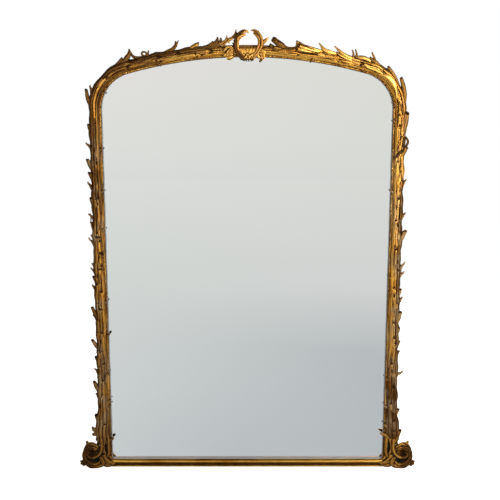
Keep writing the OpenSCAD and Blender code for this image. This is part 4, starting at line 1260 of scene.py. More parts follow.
# %% [markdown]
# A few more things are carved on the posts. The left one has a hook of bark just over the foot
# and a twig along its edge. The right one has a black vine that curls off the bark in a loop, a
# second one over the shoulder, and a thick stub at the top.

# %% Hooks, vines and the top stub
left_hook = [
    arm_limb([
        (122, 50, -24, 7, 7), (126, 60, -27, 9, 8), (130, 67, -28, 9, 8), (136, 73, -28, 6.5, 6),
        (143, 77, -27, 3, 3)], left_arm, 21, ribs=3),
    arm_limb([
        (124, 55, -26, 8, 8), (115, 63, -28, 8.5, 8), (110, 71, -28, 7.5, 7), (113, 78, -27, 3.5, 3.5)],
        left_arm, 22, ribs=3)]
left_vine = vine(on(post, [(0.645, 36, 4), (0.67, 46, 4), (0.69, 52, 3), (0.72, 56, 2)]), left_arm, 11, 3.4)
curled_vine = vine(on(post, [
    (0.868, 4, 5), (0.878, 13, 7), (0.888, 28, 8), (0.891, 40, 8), (0.900, 53, 7), (0.912, 59, 6),
    (0.922, 56, 6), (0.928, 49, 6), (0.921, 43, 7), (0.908, 41, 7), (0.899, 41, 5)]),
    right_arm, 12, 6.0, dull=1.45)
shoulder_vine = vine(on(post, [(0.988, 37, 6)]) + on(bough, [(0.01, 28, 6), (0.03, 20, 6), (0.05, 11, 5)]),
                     right_arm, 13, 3.2, dull=0.9)
top_stub = arm_limb(on(post, [
    (0.90, 38, -25, 5, 5), (0.94, 40, -28, 9, 9), (0.965, 44, -30, 11, 10), (0.99, 49, -31, 11, 10)]),
    right_arm, 14, end="torn", slant=0.2, sides=24)
print("hook of", len(left_hook), "limbs, three vines and a stub")

# %% [markdown]
# Each piece is one arm's skin between two lengths, joined with all that is rooted there and with
# what was drawn one by one. `shown` keeps every finished piece under the name of the plain solid that
# it takes the place of.

# %% Build the four arms
shown = {}


def carve_arm(node, start, end, arm, extra):
    skins = [trunk_skin(start, end, arm)]
    skins += [stub(*row, arm) for row in arm["stubs"] if start < row[0] < end]
    skins += [inner_stub(*row, arm) for row in arm["inner_stubs"] if start < row[0] < end]
    skins += [flap(*row[:5], arm, *row[5:]) for row in arm["flaps"]
              if start < row[0] and row[0] + row[2] < end]
    skin = joined(skins + extra)
    shown[node] = piece(node + "_carving", turned_over(skin) if arm is left_arm else skin)
    print(node, len(shown[node].data.polygons), "faces")


carve_arm("left_trunk", FOOT_H - RAIL_H, POST_L, left_arm, [left_vine] + left_hook)
carve_arm("right_trunk", FOOT_H - RAIL_H, POST_L, right_arm, [curled_vine, shoulder_vine, top_stub])
carve_arm("left_bough", POST_L, WHOLE_L, left_arm, left_branches)
carve_arm("right_bough", POST_L, WHOLE_L, right_arm, right_branches)

# %% [markdown]
# ## Bead and bottom moulding
# A round bead runs along the glass. It was run with a plane and cut by hand where it bends, so it
# is nearly but not quite even, with small nicks where the gesso has chipped. It is painted dark as shade
# on the side towards the glass and low down, and has a painted highlight along the middle of the arch.

# %% Bead
BEAD_R, BEAD_Y = 4.9, -19


def bead_skin(start, end, seed):
    rows = np.linspace(start, end, max(int((end - start) / 2.5), 8))
    turn = np.linspace(-0.25, 1.25, 15) * np.pi
    s, a = np.meshgrid(rows, turn, indexing="ij")
    nick = np.maximum(grain(seed + 1, s / 7, a) - 0.62, 0) * 4
    r = 1 + 0.07 * grain(seed, s / 40, a / 2) + 0.03 * grain(seed + 2, s / 6, a * 2) - 0.25 * nick
    u = BEAD_W / 2 - BEAD_R * r * np.cos(a)
    y = np.minimum(BEAD_Y - BEAD_R * r * np.sin(a), FACE_Y)
    # Painted shade low down and on the side towards the glass, and a painted highlight along the middle of
    # the arch.
    dirt_and_shade = np.maximum(0.6 * ease(s, 60, 200), 1.1 * ease(a, 0.12 * np.pi, 0.40 * np.pi))
    dirt_and_shade = dirt_and_shade - 1.0 * ease(a, 0.50 * np.pi, 0.34 * np.pi) * ease(s, bough(0.65), bough(0.35))
    return loft(on_edge(s, u, y), np.stack([s, a * 5, a * 0 + seed, dirt_and_shade], -1))


halves = {}
for side, flip, seed in (("left", turned_over, 40), ("right", lambda skin: skin, 50)):
    for part, start, end in (("bead", 0, POST_L), ("shoulder_bead", POST_L, POST_L + SHOULDER_L)):
        node = side + "_" + part
        shown[node] = piece(node + "_cut", flip(bead_skin(start, end, seed)))
    halves[side] = flip(bead_skin(POST_L + SHOULDER_L, WHOLE_L, seed))
shown["crown_bead"] = piece("crown_bead_cut", joined([halves["right"], halves["left"]]))
print("beads cut:", ", ".join(node for node in shown if "bead" in node))

# %% [markdown]
# The bottom moulding is a bead over a hollow, with a small fillet where it stands on the shelf.
# Its section is drawn once and carried along the rail. The rub of dusters keeps its upper bead
# bright, and a painted highlight makes it brighter still; the hollow below is painted a little darker as
# shade.

# %% Bottom moulding
def moulding_skin():
    """The section is points of y and z, from the top down."""
    bead = [(-25 - BEAD_R * math.sin(a), 22.8 + BEAD_R * math.cos(a)) for a in np.linspace(0.05, 2.85, 11)]
    hollow = [(-25.5 + 5 * math.sin(a) ** 0.8, 16.8 - 12.7 * (1 - math.cos(a)) / 2)
              for a in np.linspace(0.05, math.pi - 0.05, 11)]
    top, foot = [(-16, 29), (-17.6, 28.8), (-20.4, 26.2)], [(-28, 3.8), (-28.6, 3.2), (-28.6, 0), (-16, 0)]
    section = np.array(top + bead + hollow + foot)
    x, k = np.meshgrid(np.linspace(-SIGHT_W / 2, SIGHT_W / 2, 400), np.arange(len(section)), indexing="ij")
    wobble = 0.22 * grain(61, x / 60, k / 3) + 0.15 * grain(62, x / 9, k)
    inside = (k > 1) & (k < len(section) - 2)
    # The upper bead is rubbed and has a painted highlight, and the hollow below is painted a little darker
    # as shade.
    rubbed_and_lit = (k > len(top)) & (k < len(top) + len(bead) - 1)
    dull = 0.1 * (k > len(top) + len(bead)) - 1.2 * rubbed_and_lit
    points = np.stack([x, section[k, 0] + wobble * inside, section[k, 1] + 0.4 * wobble * inside], -1)
    return loft(points, np.stack([x, k * 1.5, k * 0 + 3.0, dull], -1))


shown["bottom_moulding"] = piece("bottom_moulding_cut", moulding_skin())
print("bottom moulding", len(shown["bottom_moulding"].data.polygons), "faces")

# %% [markdown]
# ## Feet
# Each post stands on a scroll. A broad channelled band rises from the shelf round the outside and
# rolls over the top, and a second one comes down out of the trunk and turns under to the eye. A
# thin ground closes the hole between them. The parts are drawn as limbs and then fused.

# %% Bands of a foot
def foot_limb(rows, seed, **shape):
    """A limb through rows of [u, z, y, half width, half depth]."""
    return limb([[SIGHT_W / 2 + u, y, z, w, d] for u, z, y, w, d in rows], seed, **shape)


FOOT_BANDS = [
    ([(46, 22, -28, 8, 10), (62, 13, -35, 9, 14), (86, 16, -38, 10, 13), (105, 32, -38, 10, 12.5),
      (111, 53, -38, 9.5, 12.5), (107, 72, -37, 9, 12), (95, 84, -36, 8, 12), (80, 88, -36, 7.5, 11),
      (68, 85, -37, 7, 10), (60, 79, -37, 6, 8)],
     {"channel": 0.30, "ribs": 4, "rib": 0.05, "sides": 20, "end": "torn", "slant": 0.4, "spin": 0.15}),
    ([(43, 146, -20, 8, 7), (41, 118, -28, 11, 10), (39, 94, -32, 9, 11), (42, 74, -37, 7.5, 11),
      (52, 58, -40, 6.5, 10), (68, 49, -41, 6, 9), (84, 47, -41, 6, 9), (95, 54, -41, 5.5, 8.5),
      (96, 64, -41, 5, 8), (89, 69, -40, 4, 6)],
     {"channel": -0.1, "ribs": 2, "rib": 0.05, "sides": 18, "end": "torn", "spin": 0.1})]
FOOT_GROUND = [(60, 60, -18, 14, 3), (78, 64, -18, 20, 3), (96, 62, -18, 14, 3)]
print(len(FOOT_BANDS), "bands to a foot")

# %% [markdown]
# Lobes of acanthus spread along the shelf and up on to the rail, and leaf tips break away from the
# back of the scroll. Each lobe is its rows, its channel and its ribs.

# %% Lobes of a foot
FOOT_LOBES = [
    ([(26, 24, -24, 7, 8), (40, 12, -32, 9, 13), (62, 5, -37, 7, 14), (86, 5, -37, 6, 13),
      (104, 12, -34, 4, 8)], 0.3, 6),
    ([(102, 36, -34, 8, 9), (115, 28, -34, 8, 9), (126, 24, -31, 5, 7), (131.5, 27, -28, 1.5, 3)], 0.35, 4),
    ([(104, 24, -32, 7, 9), (116, 17, -32, 7, 8), (126, 14, -30, 5, 6), (131, 11, -28, 1.5, 2)], 0.35, 4),
    ([(106, 16, -30, 6, 7), (116, 9, -30, 5, 6), (122, 5, -29, 2, 3)], 0.3, 4),
    ([(101, 74, -34, 7, 8), (103, 86, -34, 8, 8), (98, 96, -33, 7.5, 7), (97, 105, -32, 6.5, 6),
      (103, 113, -31, 4.5, 4.5)], 0.35, 4),
    ([(102, 84, -34, 5, 7), (95, 93, -33, 6, 7), (88, 99, -31, 5, 5), (84, 105, -30, 3, 3)], 0.3, 4),
    ([(92, 86, -34, 6, 8), (84, 98, -33, 6, 6), (80, 106, -31, 2, 2)], 0.3, 4),
    ([(98, 90, -34, 4, 6), (88, 95, -34, 6.5, 8), (76, 98, -35, 7.5, 8), (62, 92, -36, 7, 8),
      (52, 88, -35, 4, 6)], 0.3, 4),
    ([(52, 108, -24, 8, 7), (56, 96, -27, 6, 8), (52, 82, -30, 5, 8), (46, 70, -32, 3, 6)], 0.3, 4),
    ([(15, 140, -20, 6, 7), (12, 116, -27, 7, 9), (11, 92, -29, 6.5, 10), (11, 70, -30, 6.5, 10),
      (15, 52, -30, 6, 8), (22, 44, -28, 3, 5)], -0.15, 4),
    ([(27, 152, -20, 7, 8), (29, 122, -28, 8, 9), (33, 92, -31, 6, 9), (30, 72, -32, 5, 9),
      (24, 56, -31, 3, 6)], 0.15, 4),
    ([(22, 60, -24, 7, 7), (13, 44, -27, 8, 9), (2, 33, -26, 6, 8), (-10, 30, -23, 2, 3)], 0.25, 4),
    ([(34, 52, -30, 8, 9), (26, 34, -33, 10, 11), (10, 22, -33, 9, 11), (-6, 17, -31, 5, 7),
      (-13, 20, -30, 2, 3)], 0.3, 6),
    ([(40, 30, -30, 8, 9), (26, 12, -33, 9, 12), (8, 8, -33, 6, 9), (-6, 9, -31, 2, 3)], 0.3, 6),
    ([(48, 44, -32, 6, 8), (38, 34, -38, 7, 9), (34, 20, -41, 6, 8), (42, 12, -41, 4, 6)], 0.35, 4)]
print(len(FOOT_LOBES), "lobes to a foot")

# %% [markdown]
# Fusing rounds every edge, so a fused piece is cut over once more with fine tool marks. They run
# round a centre, which is the eye of the scroll or the middle of the crest's ring. A last trim
# keeps every point just inside the box of the CAD model.

# %% Tool marks
LOWEST, HIGHEST = (-690.4, FRONT_Y, 0.7), (690.4, -16.6, 1747.2)


def trimmed(made):
    mesh = made.data
    co = np.empty(len(mesh.vertices) * 3)
    mesh.vertices.foreach_get("co", co)
    co = np.clip(co.reshape(-1, 3), np.array(LOWEST) * 0.001, np.array(HIGHEST) * 0.001)
    mesh.vertices.foreach_set("co", co.ravel())
    return co * 1000


def carve(made, depth, seed, centre, dull):
    """Cuts the marks, and says how the grain runs and how far each point is darkened, painted shade
    included.
    """
    co = trimmed(made)
    mesh = made.data
    outwards, up = np.abs(co[:, 0]) - centre[0], co[:, 2] - centre[1]
    round_, apart = np.arctan2(up, outwards), np.hypot(up, outwards)
    keep_marks(mesh, np.stack([round_ * 40, apart, co[:, 1] * 0.4 + seed, dull(co)], -1))
    normals = np.empty(len(mesh.vertices) * 3)
    mesh.vertex_normals.foreach_get("vector", normals)
    normals = normals.reshape(-1, 3)
    marks = grain(seed, round_ * 9, apart / 1.8, co[:, 1] / 6) + 0.6 * grain(seed + 1, *(co.T / 2.6))
    mesh.vertices.foreach_set("co", ((co + normals * (depth * marks)[:, None]) * 0.001).ravel())
    trimmed(made)
    mesh.update()
    return made


print("fused pieces stay between", LOWEST, "and", HIGHEST)

# %% [markdown]
# The left foot is painted browner than the right one, as shade, and the leaf tips at the top of both are
# black.

# %% Build the feet
EYE_U, EYE_Z = 88, 64


def foot_skin(seed):
    parts = [foot_limb(rows, seed + n, **shape) for n, (rows, shape) in enumerate(FOOT_BANDS)]
    parts += [foot_limb(FOOT_GROUND, seed + 3, rib=0.0)]
    parts += [foot_limb(rows, seed + 10 + n, channel=channel, ribs=ribs, rib=0.06, spin=0.2)
              for n, (rows, channel, ribs) in enumerate(FOOT_LOBES)]
    return joined(parts)


def foot_dull_and_shade(co):
    tips = ease(co[:, 2], 92, 101) * (np.abs(co[:, 0]) > SIGHT_W / 2 + 72)
    # Painted shade: the left foot is browner than the right one.
    return np.where(co[:, 0] < 0, 0.74, 0.6) + 0.6 * tips


for node, flip, seed in (("left_foot", turned_over, 300), ("right_foot", lambda skin: skin, 340)):
    block = fused(piece(node + "_carving", flip(foot_skin(seed))), 1.25, 2)
    shown[node] = carve(block, 0.3, 70, (SIGHT_W / 2 + EYE_U, EYE_Z), foot_dull_and_shade)
    print(node, len(shown[node].data.polygons), "faces")

# %% [markdown]
# ## Crest
# Two branches rise from behind a bunch of blossoms, bend to an open ring and end in torn tips.
# Here rows are places across and up, not along the edge, because the crest was carved by itself
# and set on the arch.

# %% Limbs and thorns of the crest
CREST_Y = -37


def crest_limb(rows, seed, **shape):
    """A limb through rows of [x, z, y, half width, half depth]."""
    return limb([[x, y, z, w, d] for x, z, y, w, d in rows], seed, **shape)


def thorns(rows, seed):
    """Each from x, z to x, z, and its radius."""
    return [crest_limb([(x, z, CREST_Y + 1, r, r), ((x + xx) / 2, (z + zz) / 2, CREST_Y, r * 0.8, r * 0.8),
                        (xx, zz, CREST_Y, 0.6, 0.6)], seed + n, steps=3, sides=8)
            for n, (x, z, xx, zz, r) in enumerate(rows)]


print("the crest lies", -CREST_Y, "mm in front of the middle of the carcass")

# %% [markdown]
# The left branch closes over the top of the ring with its tip split in two. A twig comes over
# from the left bough and turns up beside it.

# %% The crest's left branch
left_branch = joined([
    crest_limb([
        (-8, 1636, -42, 4, 4), (-20, 1645, -43, 7, 5.5), (-32, 1659, -41, 9, 7),
        (-39.5, 1678, -39, 10, 7.5), (-41, 1697, -38, 10.5, 7.5), (-36, 1716, -38, 10.5, 7),
        (-25, 1730, -38, 9.5, 6.5), (-11, 1738.5, -38, 7.5, 5.5), (0, 1737.5, -38, 4.5, 3.5),
        (6.5, 1732, -38, 1.6, 1.6)], 401, ribs=4, rib=0.18, spin=0.12, sides=28),
    crest_limb([
        (-38, 1700, -39, 5, 5), (-31, 1714, -41, 6.5, 5.5), (-20, 1722, -41, 6.5, 4.5),
        (-4, 1727, -38, 2, 2)], 402, ribs=3, spin=0.1),
    crest_limb([
        (-36, 1664, -40, 4, 4), (-45, 1680, -39, 5.5, 4), (-49, 1688, -38, 4, 3.5),
        (-56, 1697, -38, 1.6, 1.6)], 403, ribs=3),
    crest_limb([
        (-99, 1688, -35, 7, 6), (-88, 1696, -37, 9, 7), (-74, 1705, -37, 8, 7),
        (-58, 1713, -37, 6.5, 6.5), (-47, 1723, -37, 5.4, 5.5), (-43, 1735, -37, 3.2, 3.2),
        (-41.5, 1746, -37, 1.4, 1.4)], 404, ribs=4, rib=0.16, spin=0.2)]
    + thorns([(-78, 1706, -76, 1724, 5), (-70, 1704, -66, 1692, 3.5), (-88, 1694, -80, 1686, 3.5),
              (-34, 1728, -42, 1737, 2.5), (-46, 1700, -54, 1706, 3), (-26, 1652, -31, 1644, 3)], 410))
print("left branch", len(left_branch[0]), "points")

# %% [markdown]
# The right branch comes up to meet it, with a short twig that stands off to the right.

# %% The crest's right branch
right_branch = joined([
    crest_limb([
        (16, 1636, -42, 4, 4), (27, 1650, -41, 8, 6), (37, 1664, -40, 9.5, 7),
        (45.5, 1680, -39, 10.5, 7.5), (50, 1695, -38, 11, 7.5), (49, 1711, -38, 10.5, 7),
        (43, 1725, -38, 9.5, 6.5), (34, 1735.5, -38, 8, 5.5), (25, 1741, -38, 5.5, 4),
        (13, 1742, -38, 1.8, 1.8)], 421, ribs=4, rib=0.18, spin=0.12, sides=28),
    crest_limb([
        (48, 1702, -39, 5, 5), (42, 1716, -41, 6.5, 5), (34, 1725, -41, 6, 4), (22, 1731.5, -38, 2, 2)],
        422, ribs=3, spin=0.1),
    crest_limb([
        (44, 1676, -39, 5, 4), (54, 1692, -38, 7, 5.5), (64, 1702, -37, 7, 5), (72, 1709, -37, 5, 4),
        (80, 1717, -37, 1.6, 1.6)], 423, ribs=3, rib=0.16)]
    + thorns([(66, 1704, 76, 1705, 3), (38, 1733, 44, 1742, 2.5), (52, 1712, 58, 1719, 2.5),
              (30, 1650, 38, 1645, 3)], 430))
print("right branch", len(right_branch[0]), "points")

# %% [markdown]
# Nine small flowers with five channelled petals each hide the crossing. Pointed sepals hang from
# the bunch and broader ones stand up behind it.

# %% Blossoms
def flower(x, z, y, r, seed):
    petals = []
    for n in range(5):
        a = 2 * math.pi * (n + 0.3 * (seed % 3)) / 5
        cx, cz = math.cos(a), math.sin(a)
        petals.append(crest_limb([
            (x, z, y + 3, r * 0.3, 2.2), (x + cx * r * 0.55, z + cz * r * 0.55, y, r * 0.42, 2.2),
            (x + cx * r, z + cz * r, y + 1.2, r * 0.2, 1.2)], seed + n, steps=4, sides=10, ribs=1, rib=0.05,
            channel=0.3))
    petals.append(crest_limb([(x, z - 0.8, y - 0.5, r * 0.22, 1.8), (x, z + 0.8, y - 0.5, r * 0.22, 1.8)],
                             seed, steps=3, sides=8))
    return petals


FLOWER_R = 5.6
BLOOMS = [
    (-13, 1651, -43), (-5, 1645, -45), (1, 1653, -46), (9, 1646, -47), (17, 1651, -46), (22, 1644, -43),
    (27, 1657, -43), (10, 1660, -42), (-8, 1660, -41)]
HANGING = [(-36, 1642), (-30, 1637), (-20, 1633), (-12, 1631), (-2, 1630.5), (8, 1631.5), (16, 1635)]
STANDING = [(-36, 1678), (-24, 1682), (-12, 1684), (0, 1684), (12, 1684), (24, 1682), (35, 1678)]

bunch = [petal for n, bloom in enumerate(BLOOMS) for petal in flower(*bloom, FLOWER_R, 440 + 7 * n)]
bunch += [crest_limb([(8 + 0.45 * x, 1650, -34, 4, 4), (8 + 0.8 * x, 1641, -38, 4.5, 3.5),
                      (8 + x, z, -37, 1, 1)], 520 + n, steps=4, ribs=3, channel=0.3)
          for n, (x, z) in enumerate(HANGING)]
bunch += [crest_limb([(5 + x * 0.6, 1650, -38, 6, 5), (5 + x * 0.8, 1662, -41, 8.5, 4.5),
                      (5 + x * 0.95, 1674, -40, 7, 4), (5 + x, z, -36, 2.5, 2)], 530 + n, steps=5, ribs=4,
                     rib=0.1, channel=0.25, sides=20)
          for n, (x, z) in enumerate(STANDING)]
print(len(BLOOMS), "blossoms from", len(bunch), "limbs")

# %% [markdown]
# A leaf of four or five lobes curls down over the bead on either side. A lobe bulges forward in
# its middle.

# %% Leaves
LEAF_Y = -40


def leaf(lobes, seed):
    """Lobes through rows of [x, z, half width]."""
    skins = []
    for n, rows in enumerate(lobes):
        bulge = [2.5 * math.sin(math.pi * k / (len(rows) - 1)) for k in range(len(rows))]
        skins.append(crest_limb([(x, z, LEAF_Y - b, w, 4.5) for (x, z, w), b in zip(rows, bulge)],
                                seed + n, steps=6, ribs=2, rib=0.06, channel=0.35))
    return joined(skins)


left_leaf = leaf([
    [(-50, 1674, 5), (-60, 1671, 8), (-68, 1661, 9), (-64, 1651, 7), (-56, 1648, 3)],
    [(-48, 1666, 5), (-57, 1660, 8), (-60, 1652, 6), (-58, 1647, 2)],
    [(-60, 1664, 5), (-72, 1656, 6.5), (-81, 1651, 5), (-87, 1652, 2)],
    [(-52, 1652, 4), (-62, 1644, 5), (-72, 1641, 4), (-79, 1643, 1.5)],
    [(-54, 1678, 3), (-68, 1681, 4), (-80, 1675, 4), (-87, 1664, 1.5)]], 550)
right_leaf = leaf([
    [(42, 1668, 4), (52, 1668, 7.5), (62, 1663, 7), (69, 1660, 2.5)],
    [(44, 1660, 4), (52, 1656, 7), (56, 1650, 5), (57, 1645, 2)],
    [(50, 1666, 5), (59, 1656, 6.5), (63, 1647, 5), (62, 1641, 2)],
    [(54, 1656, 4), (56, 1645, 5.5), (52, 1636, 5), (46, 1630.5, 2)],
    [(46, 1662, 4), (40, 1654, 5), (42, 1646, 3.5), (48, 1644, 1.5)]], 560)
print("leaves of", len(left_leaf[0]), "and", len(right_leaf[0]), "points")

# %% [markdown]
# Painted shade darkens the crest low down, where the leaf tips hang over the glass, and on the outside of
# the left branch. Everything else has the dullness that is given with each piece.

# %% Build the crest
RING_X, RING_Z = 4, 1693


def crest_dull_and_shade(base):
    def marks(co):
        x, z = co[:, 0], co[:, 2]
        # Painted shade on the outside of the left branch and low down under the hanging leaf tips.
        outside = ease(np.hypot(x - RING_X, z - RING_Z), 49, 43) * (x < -10) * (x > -54) * 0.9
        return np.maximum(1.1 * ease(z, 1636, 1641), outside) + base
    return marks


for node, skin, base in (
        ("crest_left_branch", left_branch, 0.38), ("crest_right_branch", right_branch, 0.52),
        ("crest_blossoms", joined(bunch), 0.06), ("crest_left_leaf", left_leaf, 0.12),
        ("crest_right_leaf", right_leaf, 0.2)):
    block = fused(piece(node + "_carving", skin), 0.8, 1)
    shown[node] = carve(block, 0.08, 90, (RING_X, RING_Z), crest_dull_and_shade(base))
    print(node, len(shown[node].data.polygons), "faces")

# %% [markdown]
# ## Gilding
# Leaf gold is laid over red clay and a white ground. What stands out gets a painted highlight, and the leaf
# is rubbed through to the red clay in places, while painted shade, brown dirt and old varnish darken
# the hollows and corners. The relief on the mesh and the open sky above each point, which the
# ambient occlusion node measures, say where. Streaks follow the grain of the carving. Grey dust
# lies on the lower half of the posts, and marks of more than 1 are black, most of them painted shade.

# %% The gilding
# The rubbed colours also carry a painted highlight, the ridge colour is a painted highlight, and the dull
# brown and the two dark colours carry dirt and painted shade.
BROWN_LEAF, YELLOW_LEAF = (0.40, 0.142, 0.016), (0.92, 0.46, 0.076)
RUBBED_AND_LIT_BROWN, RUBBED_AND_LIT_YELLOW = (0.68, 0.27, 0.032), (1.0, 0.56, 0.10)
OLD_VARNISH, DULL_AND_SHADED_BROWN = (0.44, 0.26, 0.10), (0.085, 0.033, 0.009)
GREY_DUST, RIDGE_HIGHLIGHT, RED_CLAY = (0.38, 0.29, 0.18), (1.0, 0.60, 0.15), (0.22, 0.045, 0.018)
BLACK_DIRT_AND_SHADE, BROWN_DIRT_AND_SHADE = (0.012, 0.004, 0.0015), (0.045, 0.016, 0.005)


def gilding():
    gold = Finish(bpy.data.materials.new("gilding"))
    at = gold.place()
    relief = gold.node("ShaderNodeAttribute", {"attribute_name": "relief"}, out=2)
    dull = gold.node("ShaderNodeAttribute", {"attribute_name": "dull"}, out=2)
    flow = gold.node("ShaderNodeAttribute", {"attribute_name": "grain"}, out=1)
    strand, fibre = (gold.node("ShaderNodeVectorMath", {"operation": "MULTIPLY"}, {0: flow, 1: stretch})
                     for stretch in ((7, 0, 900), (13, 115, 900)))
    cloud = gold.noise(at, 9, 3)
    mottle = gold.noise(at, 60, 4, 0.6)
    speck = gold.noise(at, 420, 3, 0.6)
    streak = gold.noise(fibre, 1, 3, 0.6)
    tone = streak * 0.40 + gold.noise(strand, 1, 1) * 0.40 + mottle * 0.20

    # The leaf by itself: yellow and brown along the grain, clouded by varnish, or rubbed bright with a
    # painted highlight
    leaf = gold.mix(tone.within(0.40, 0.58), BROWN_LEAF, YELLOW_LEAF)
    leaf = gold.mix(cloud.within(0.35, 0.70) * 0.45, leaf, OLD_VARNISH)
    rubbed_and_lit = gold.mix(tone.within(0.38, 0.58), RUBBED_AND_LIT_BROWN, RUBBED_AND_LIT_YELLOW)
    leaf = gold.mix((dull * -1.3).within(0, 1), leaf, rubbed_and_lit)

    # What age and painted light did to it: dust low down, dull bark with painted shade, a painted highlight
    # on ridges, and clay where it is rubbed through
    up = gold.parts(at)[2]
    dust = gold.noise(at, 16, 3).within(0.42, 0.62) * up.within(0.10, 0.24) * (1 - up.within(1.15, 1.5))
    # Dull brown from the marks: real dullness and painted shade.
    worn_and_shaded = (dull + (tone - 0.5) * 0.8 * dull.within(0, 0.2)).within(0.0, 1.0)
    # Painted highlight on the ridges.
    ridge = (relief * -1).within(0.1, 0.8) * (1 - worn_and_shaded * 0.93)
    clay = gold.noise(at, 120, 4, 0.65).within(0.60, 0.72) * (1 - relief.within(-0.2, 0.6))
    leaf = gold.mix(worn_and_shaded * 0.92, leaf, DULL_AND_SHADED_BROWN)
    leaf = gold.mix(dust * 0.5, leaf, GREY_DUST)
    leaf = gold.mix(ridge * 0.7, leaf, RIDGE_HIGHLIGHT)
    leaf = gold.mix(clay * 0.6, leaf, RED_CLAY)

    # Painted shade and dirt in the hollows and corners, and black wherever the marks say so, mostly painted
    # shade
    # Painted shade in the hollows, at the back and in corners.
    deep = relief.within(-0.15, 0.6) * 1.2 + (1 - gold.open_sky(0.016)).within(0.2, 0.7) * 1.15
    # Marks over 1 are black, mostly painted shade in cracks, grooves, pits and torn hollows.
    black = dull.within(1.05, 1.7) * 0.6
    dirt_and_shade = (deep + (speck - 0.5) * 0.25 + (tone - 0.5) * -1.2 + worn_and_shaded * 0.2 + black).within(0.10, 0.85)
    grime_and_shade = gold.mix(mottle.within(0.4, 0.6), BLACK_DIRT_AND_SHADE, BROWN_DIRT_AND_SHADE)
    return gold.principled(
        Base_Color=gold.mix(dirt_and_shade * 0.96, leaf, grime_and_shade),
        Metallic=0.92 - dirt_and_shade * 0.72 - clay * 0.5 - worn_and_shaded * 0.2 - dust * 0.2,
        Specular_IOR_Level=0.25, Specular_Tint=(1.0, 0.62, 0.25),
        Roughness=0.33 + speck * 0.12 + dirt_and_shade * 0.28 + cloud * 0.08 + dull * 0.10,
        Normal=gold.bump(speck * 0.3 + mottle * 0.4 + streak * 0.9, 0.0007, 0.4))


GILDING = gilding()
print("gilding:", len(GILDING.node_tree.nodes), "nodes")

# %% [markdown]
# Now each carving gets its relief and its finish, rides on the frame and takes the place of
# its plain solid. The fused pieces have finer meshes, so their relief is read over more rounds.

# %% Put the carvings in their places
FUSED_READING = {"reaches": (4, 22), "level": 0.45}
ARM_READING = {"reaches": (3, 14), "level": 1.0}

for node, made in shown.items():
    read_relief(made, **(FUSED_READING if "foot" in node or "crest" in node else ARM_READING))
    made.data.materials.clear()
    made.data.materials.append(GILDING)
    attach(made, "frame")
    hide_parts(node)
print(len(shown), "carvings in place of their plain solids")

# %% [markdown]
# ## Pine
# The carcass is bare pine that has gone brown. Its grain runs along each member, so the wood is
# written once and stretched to suit. Rings are waves that bend round a few knots, pores are
# short dark lines, and the saw left marks across the grain. Corners are painted darker as shade.

# %% Wood
KNOT_BROWN, CORNER_SHADE = (0.050, 0.020, 0.008), (0.030, 0.018, 0.010)


def wood(name, stretch, light, dark, across, coat):
    """coat is a function that says where the wood is covered and with which colour."""
    pine = Finish(bpy.data.materials.new(name))
    at = pine.place(stretch)
    here = pine.place()
    bend = pine.noise(at, 1.2, 2)
    knots = pine.node("ShaderNodeTexVoronoi", {}, {"Vector": at, "Scale": 1.6, "Randomness": 1.0})
    eye = 1 - knots.within(0.02, 0.13)
    rings = pine.node("ShaderNodeTexWave", {"bands_direction": across}, {
        "Vector": at, "Scale": 5.0, "Distortion": (bend + knots.within(0.0, 0.4)) * 14,
        "Detail": 3.0, "Detail Scale": 1.2}, 1)
    pores = pine.noise(at, 60, 4, 0.7)
    wide = pine.noise(here, 5, 3)
    saw = pine.node("ShaderNodeTexWave", {"bands_direction": "Z" if across != "Z" else "X"}, {
        "Vector": here, "Scale": 95.0, "Distortion": 2.5, "Detail": 2.0}, 1)
    colour = pine.mix(rings * 0.6 + pores * 0.7 - 0.15, light, dark)
    colour = pine.mix(wide.within(0.45, 0.75) * 0.5, colour, [c * 0.45 for c in dark])
    colour = pine.mix(eye * 0.85, colour, KNOT_BROWN)
    # Painted shade in the corners, where the ambient occlusion finds them closed in.
    colour = pine.mix((1 - pine.open_sky(0.02)).within(0.3, 0.9) * 0.7, colour, CORNER_SHADE)
    share, over = coat(pine, here, wide)
    return pine.principled(
        Base_Color=pine.mix(share, colour, over), Roughness=0.62 + pores * 0.2,
        Normal=pine.bump(pores * 0.5 + rings * 0.25 + saw * 0.35, 0.0006, 0.6))


print("wood: rings, knots, pores and saw marks")

# %% [markdown]
# At the sight edge, where the glass would mirror bare wood, the carcass has a coat of grey gesso.
# It lies on faces that look inwards and on the lip in front of the glass. The fronts of the
# foot blocks, which show between the scrolls, are painted black as shade.

# %% Coats on the wood
LIP_FRONT, BLOCK_FRONT = (0.0154, 0.0158), (0.0158, 0.01595)
MIDDLE = (0, -0.010, 0.85)
DARK_GESSO, LIGHT_GESSO = (0.45, 0.475, 0.485), (0.57, 0.595, 0.61)
BLACK_SHADE_PAINT = (0.012, 0.009, 0.007)


def gesso_at_the_glass(pine, here, wide):
    normal = pine.outputs(pine.node("ShaderNodeNewGeometry"), "Normal")[0]
    to_middle = pine.node("ShaderNodeVectorMath", {"operation": "SUBTRACT"}, {0: MIDDLE, 1: here})
    inward = pine.node("ShaderNodeVectorMath", {"operation": "DOT_PRODUCT"}, {0: normal, 1: to_middle}, 1)
    _, back, up = pine.parts(here)
    forward = back * -1
    on_the_edge = inward.within(0.02, 0.05) * forward.within(0.0070, 0.0078)
    on_the_rail = up.within(0.0284, 0.0288) * (1 - up.within(0.034, 0.036)) * forward.within(*LIP_FRONT)
    return on_the_edge.math("MAXIMUM", on_the_rail), pine.mix(wide, DARK_GESSO, LIGHT_GESSO)


# Black paint on the fronts of the foot blocks stands for the shade between the scrolls.
def black_shade_front(pine, here, wide):
    return (pine.parts(here)[1] * -1).within(*BLOCK_FRONT), BLACK_SHADE_PAINT


print("coats: grey gesso by the glass, black paint on the foot blocks")

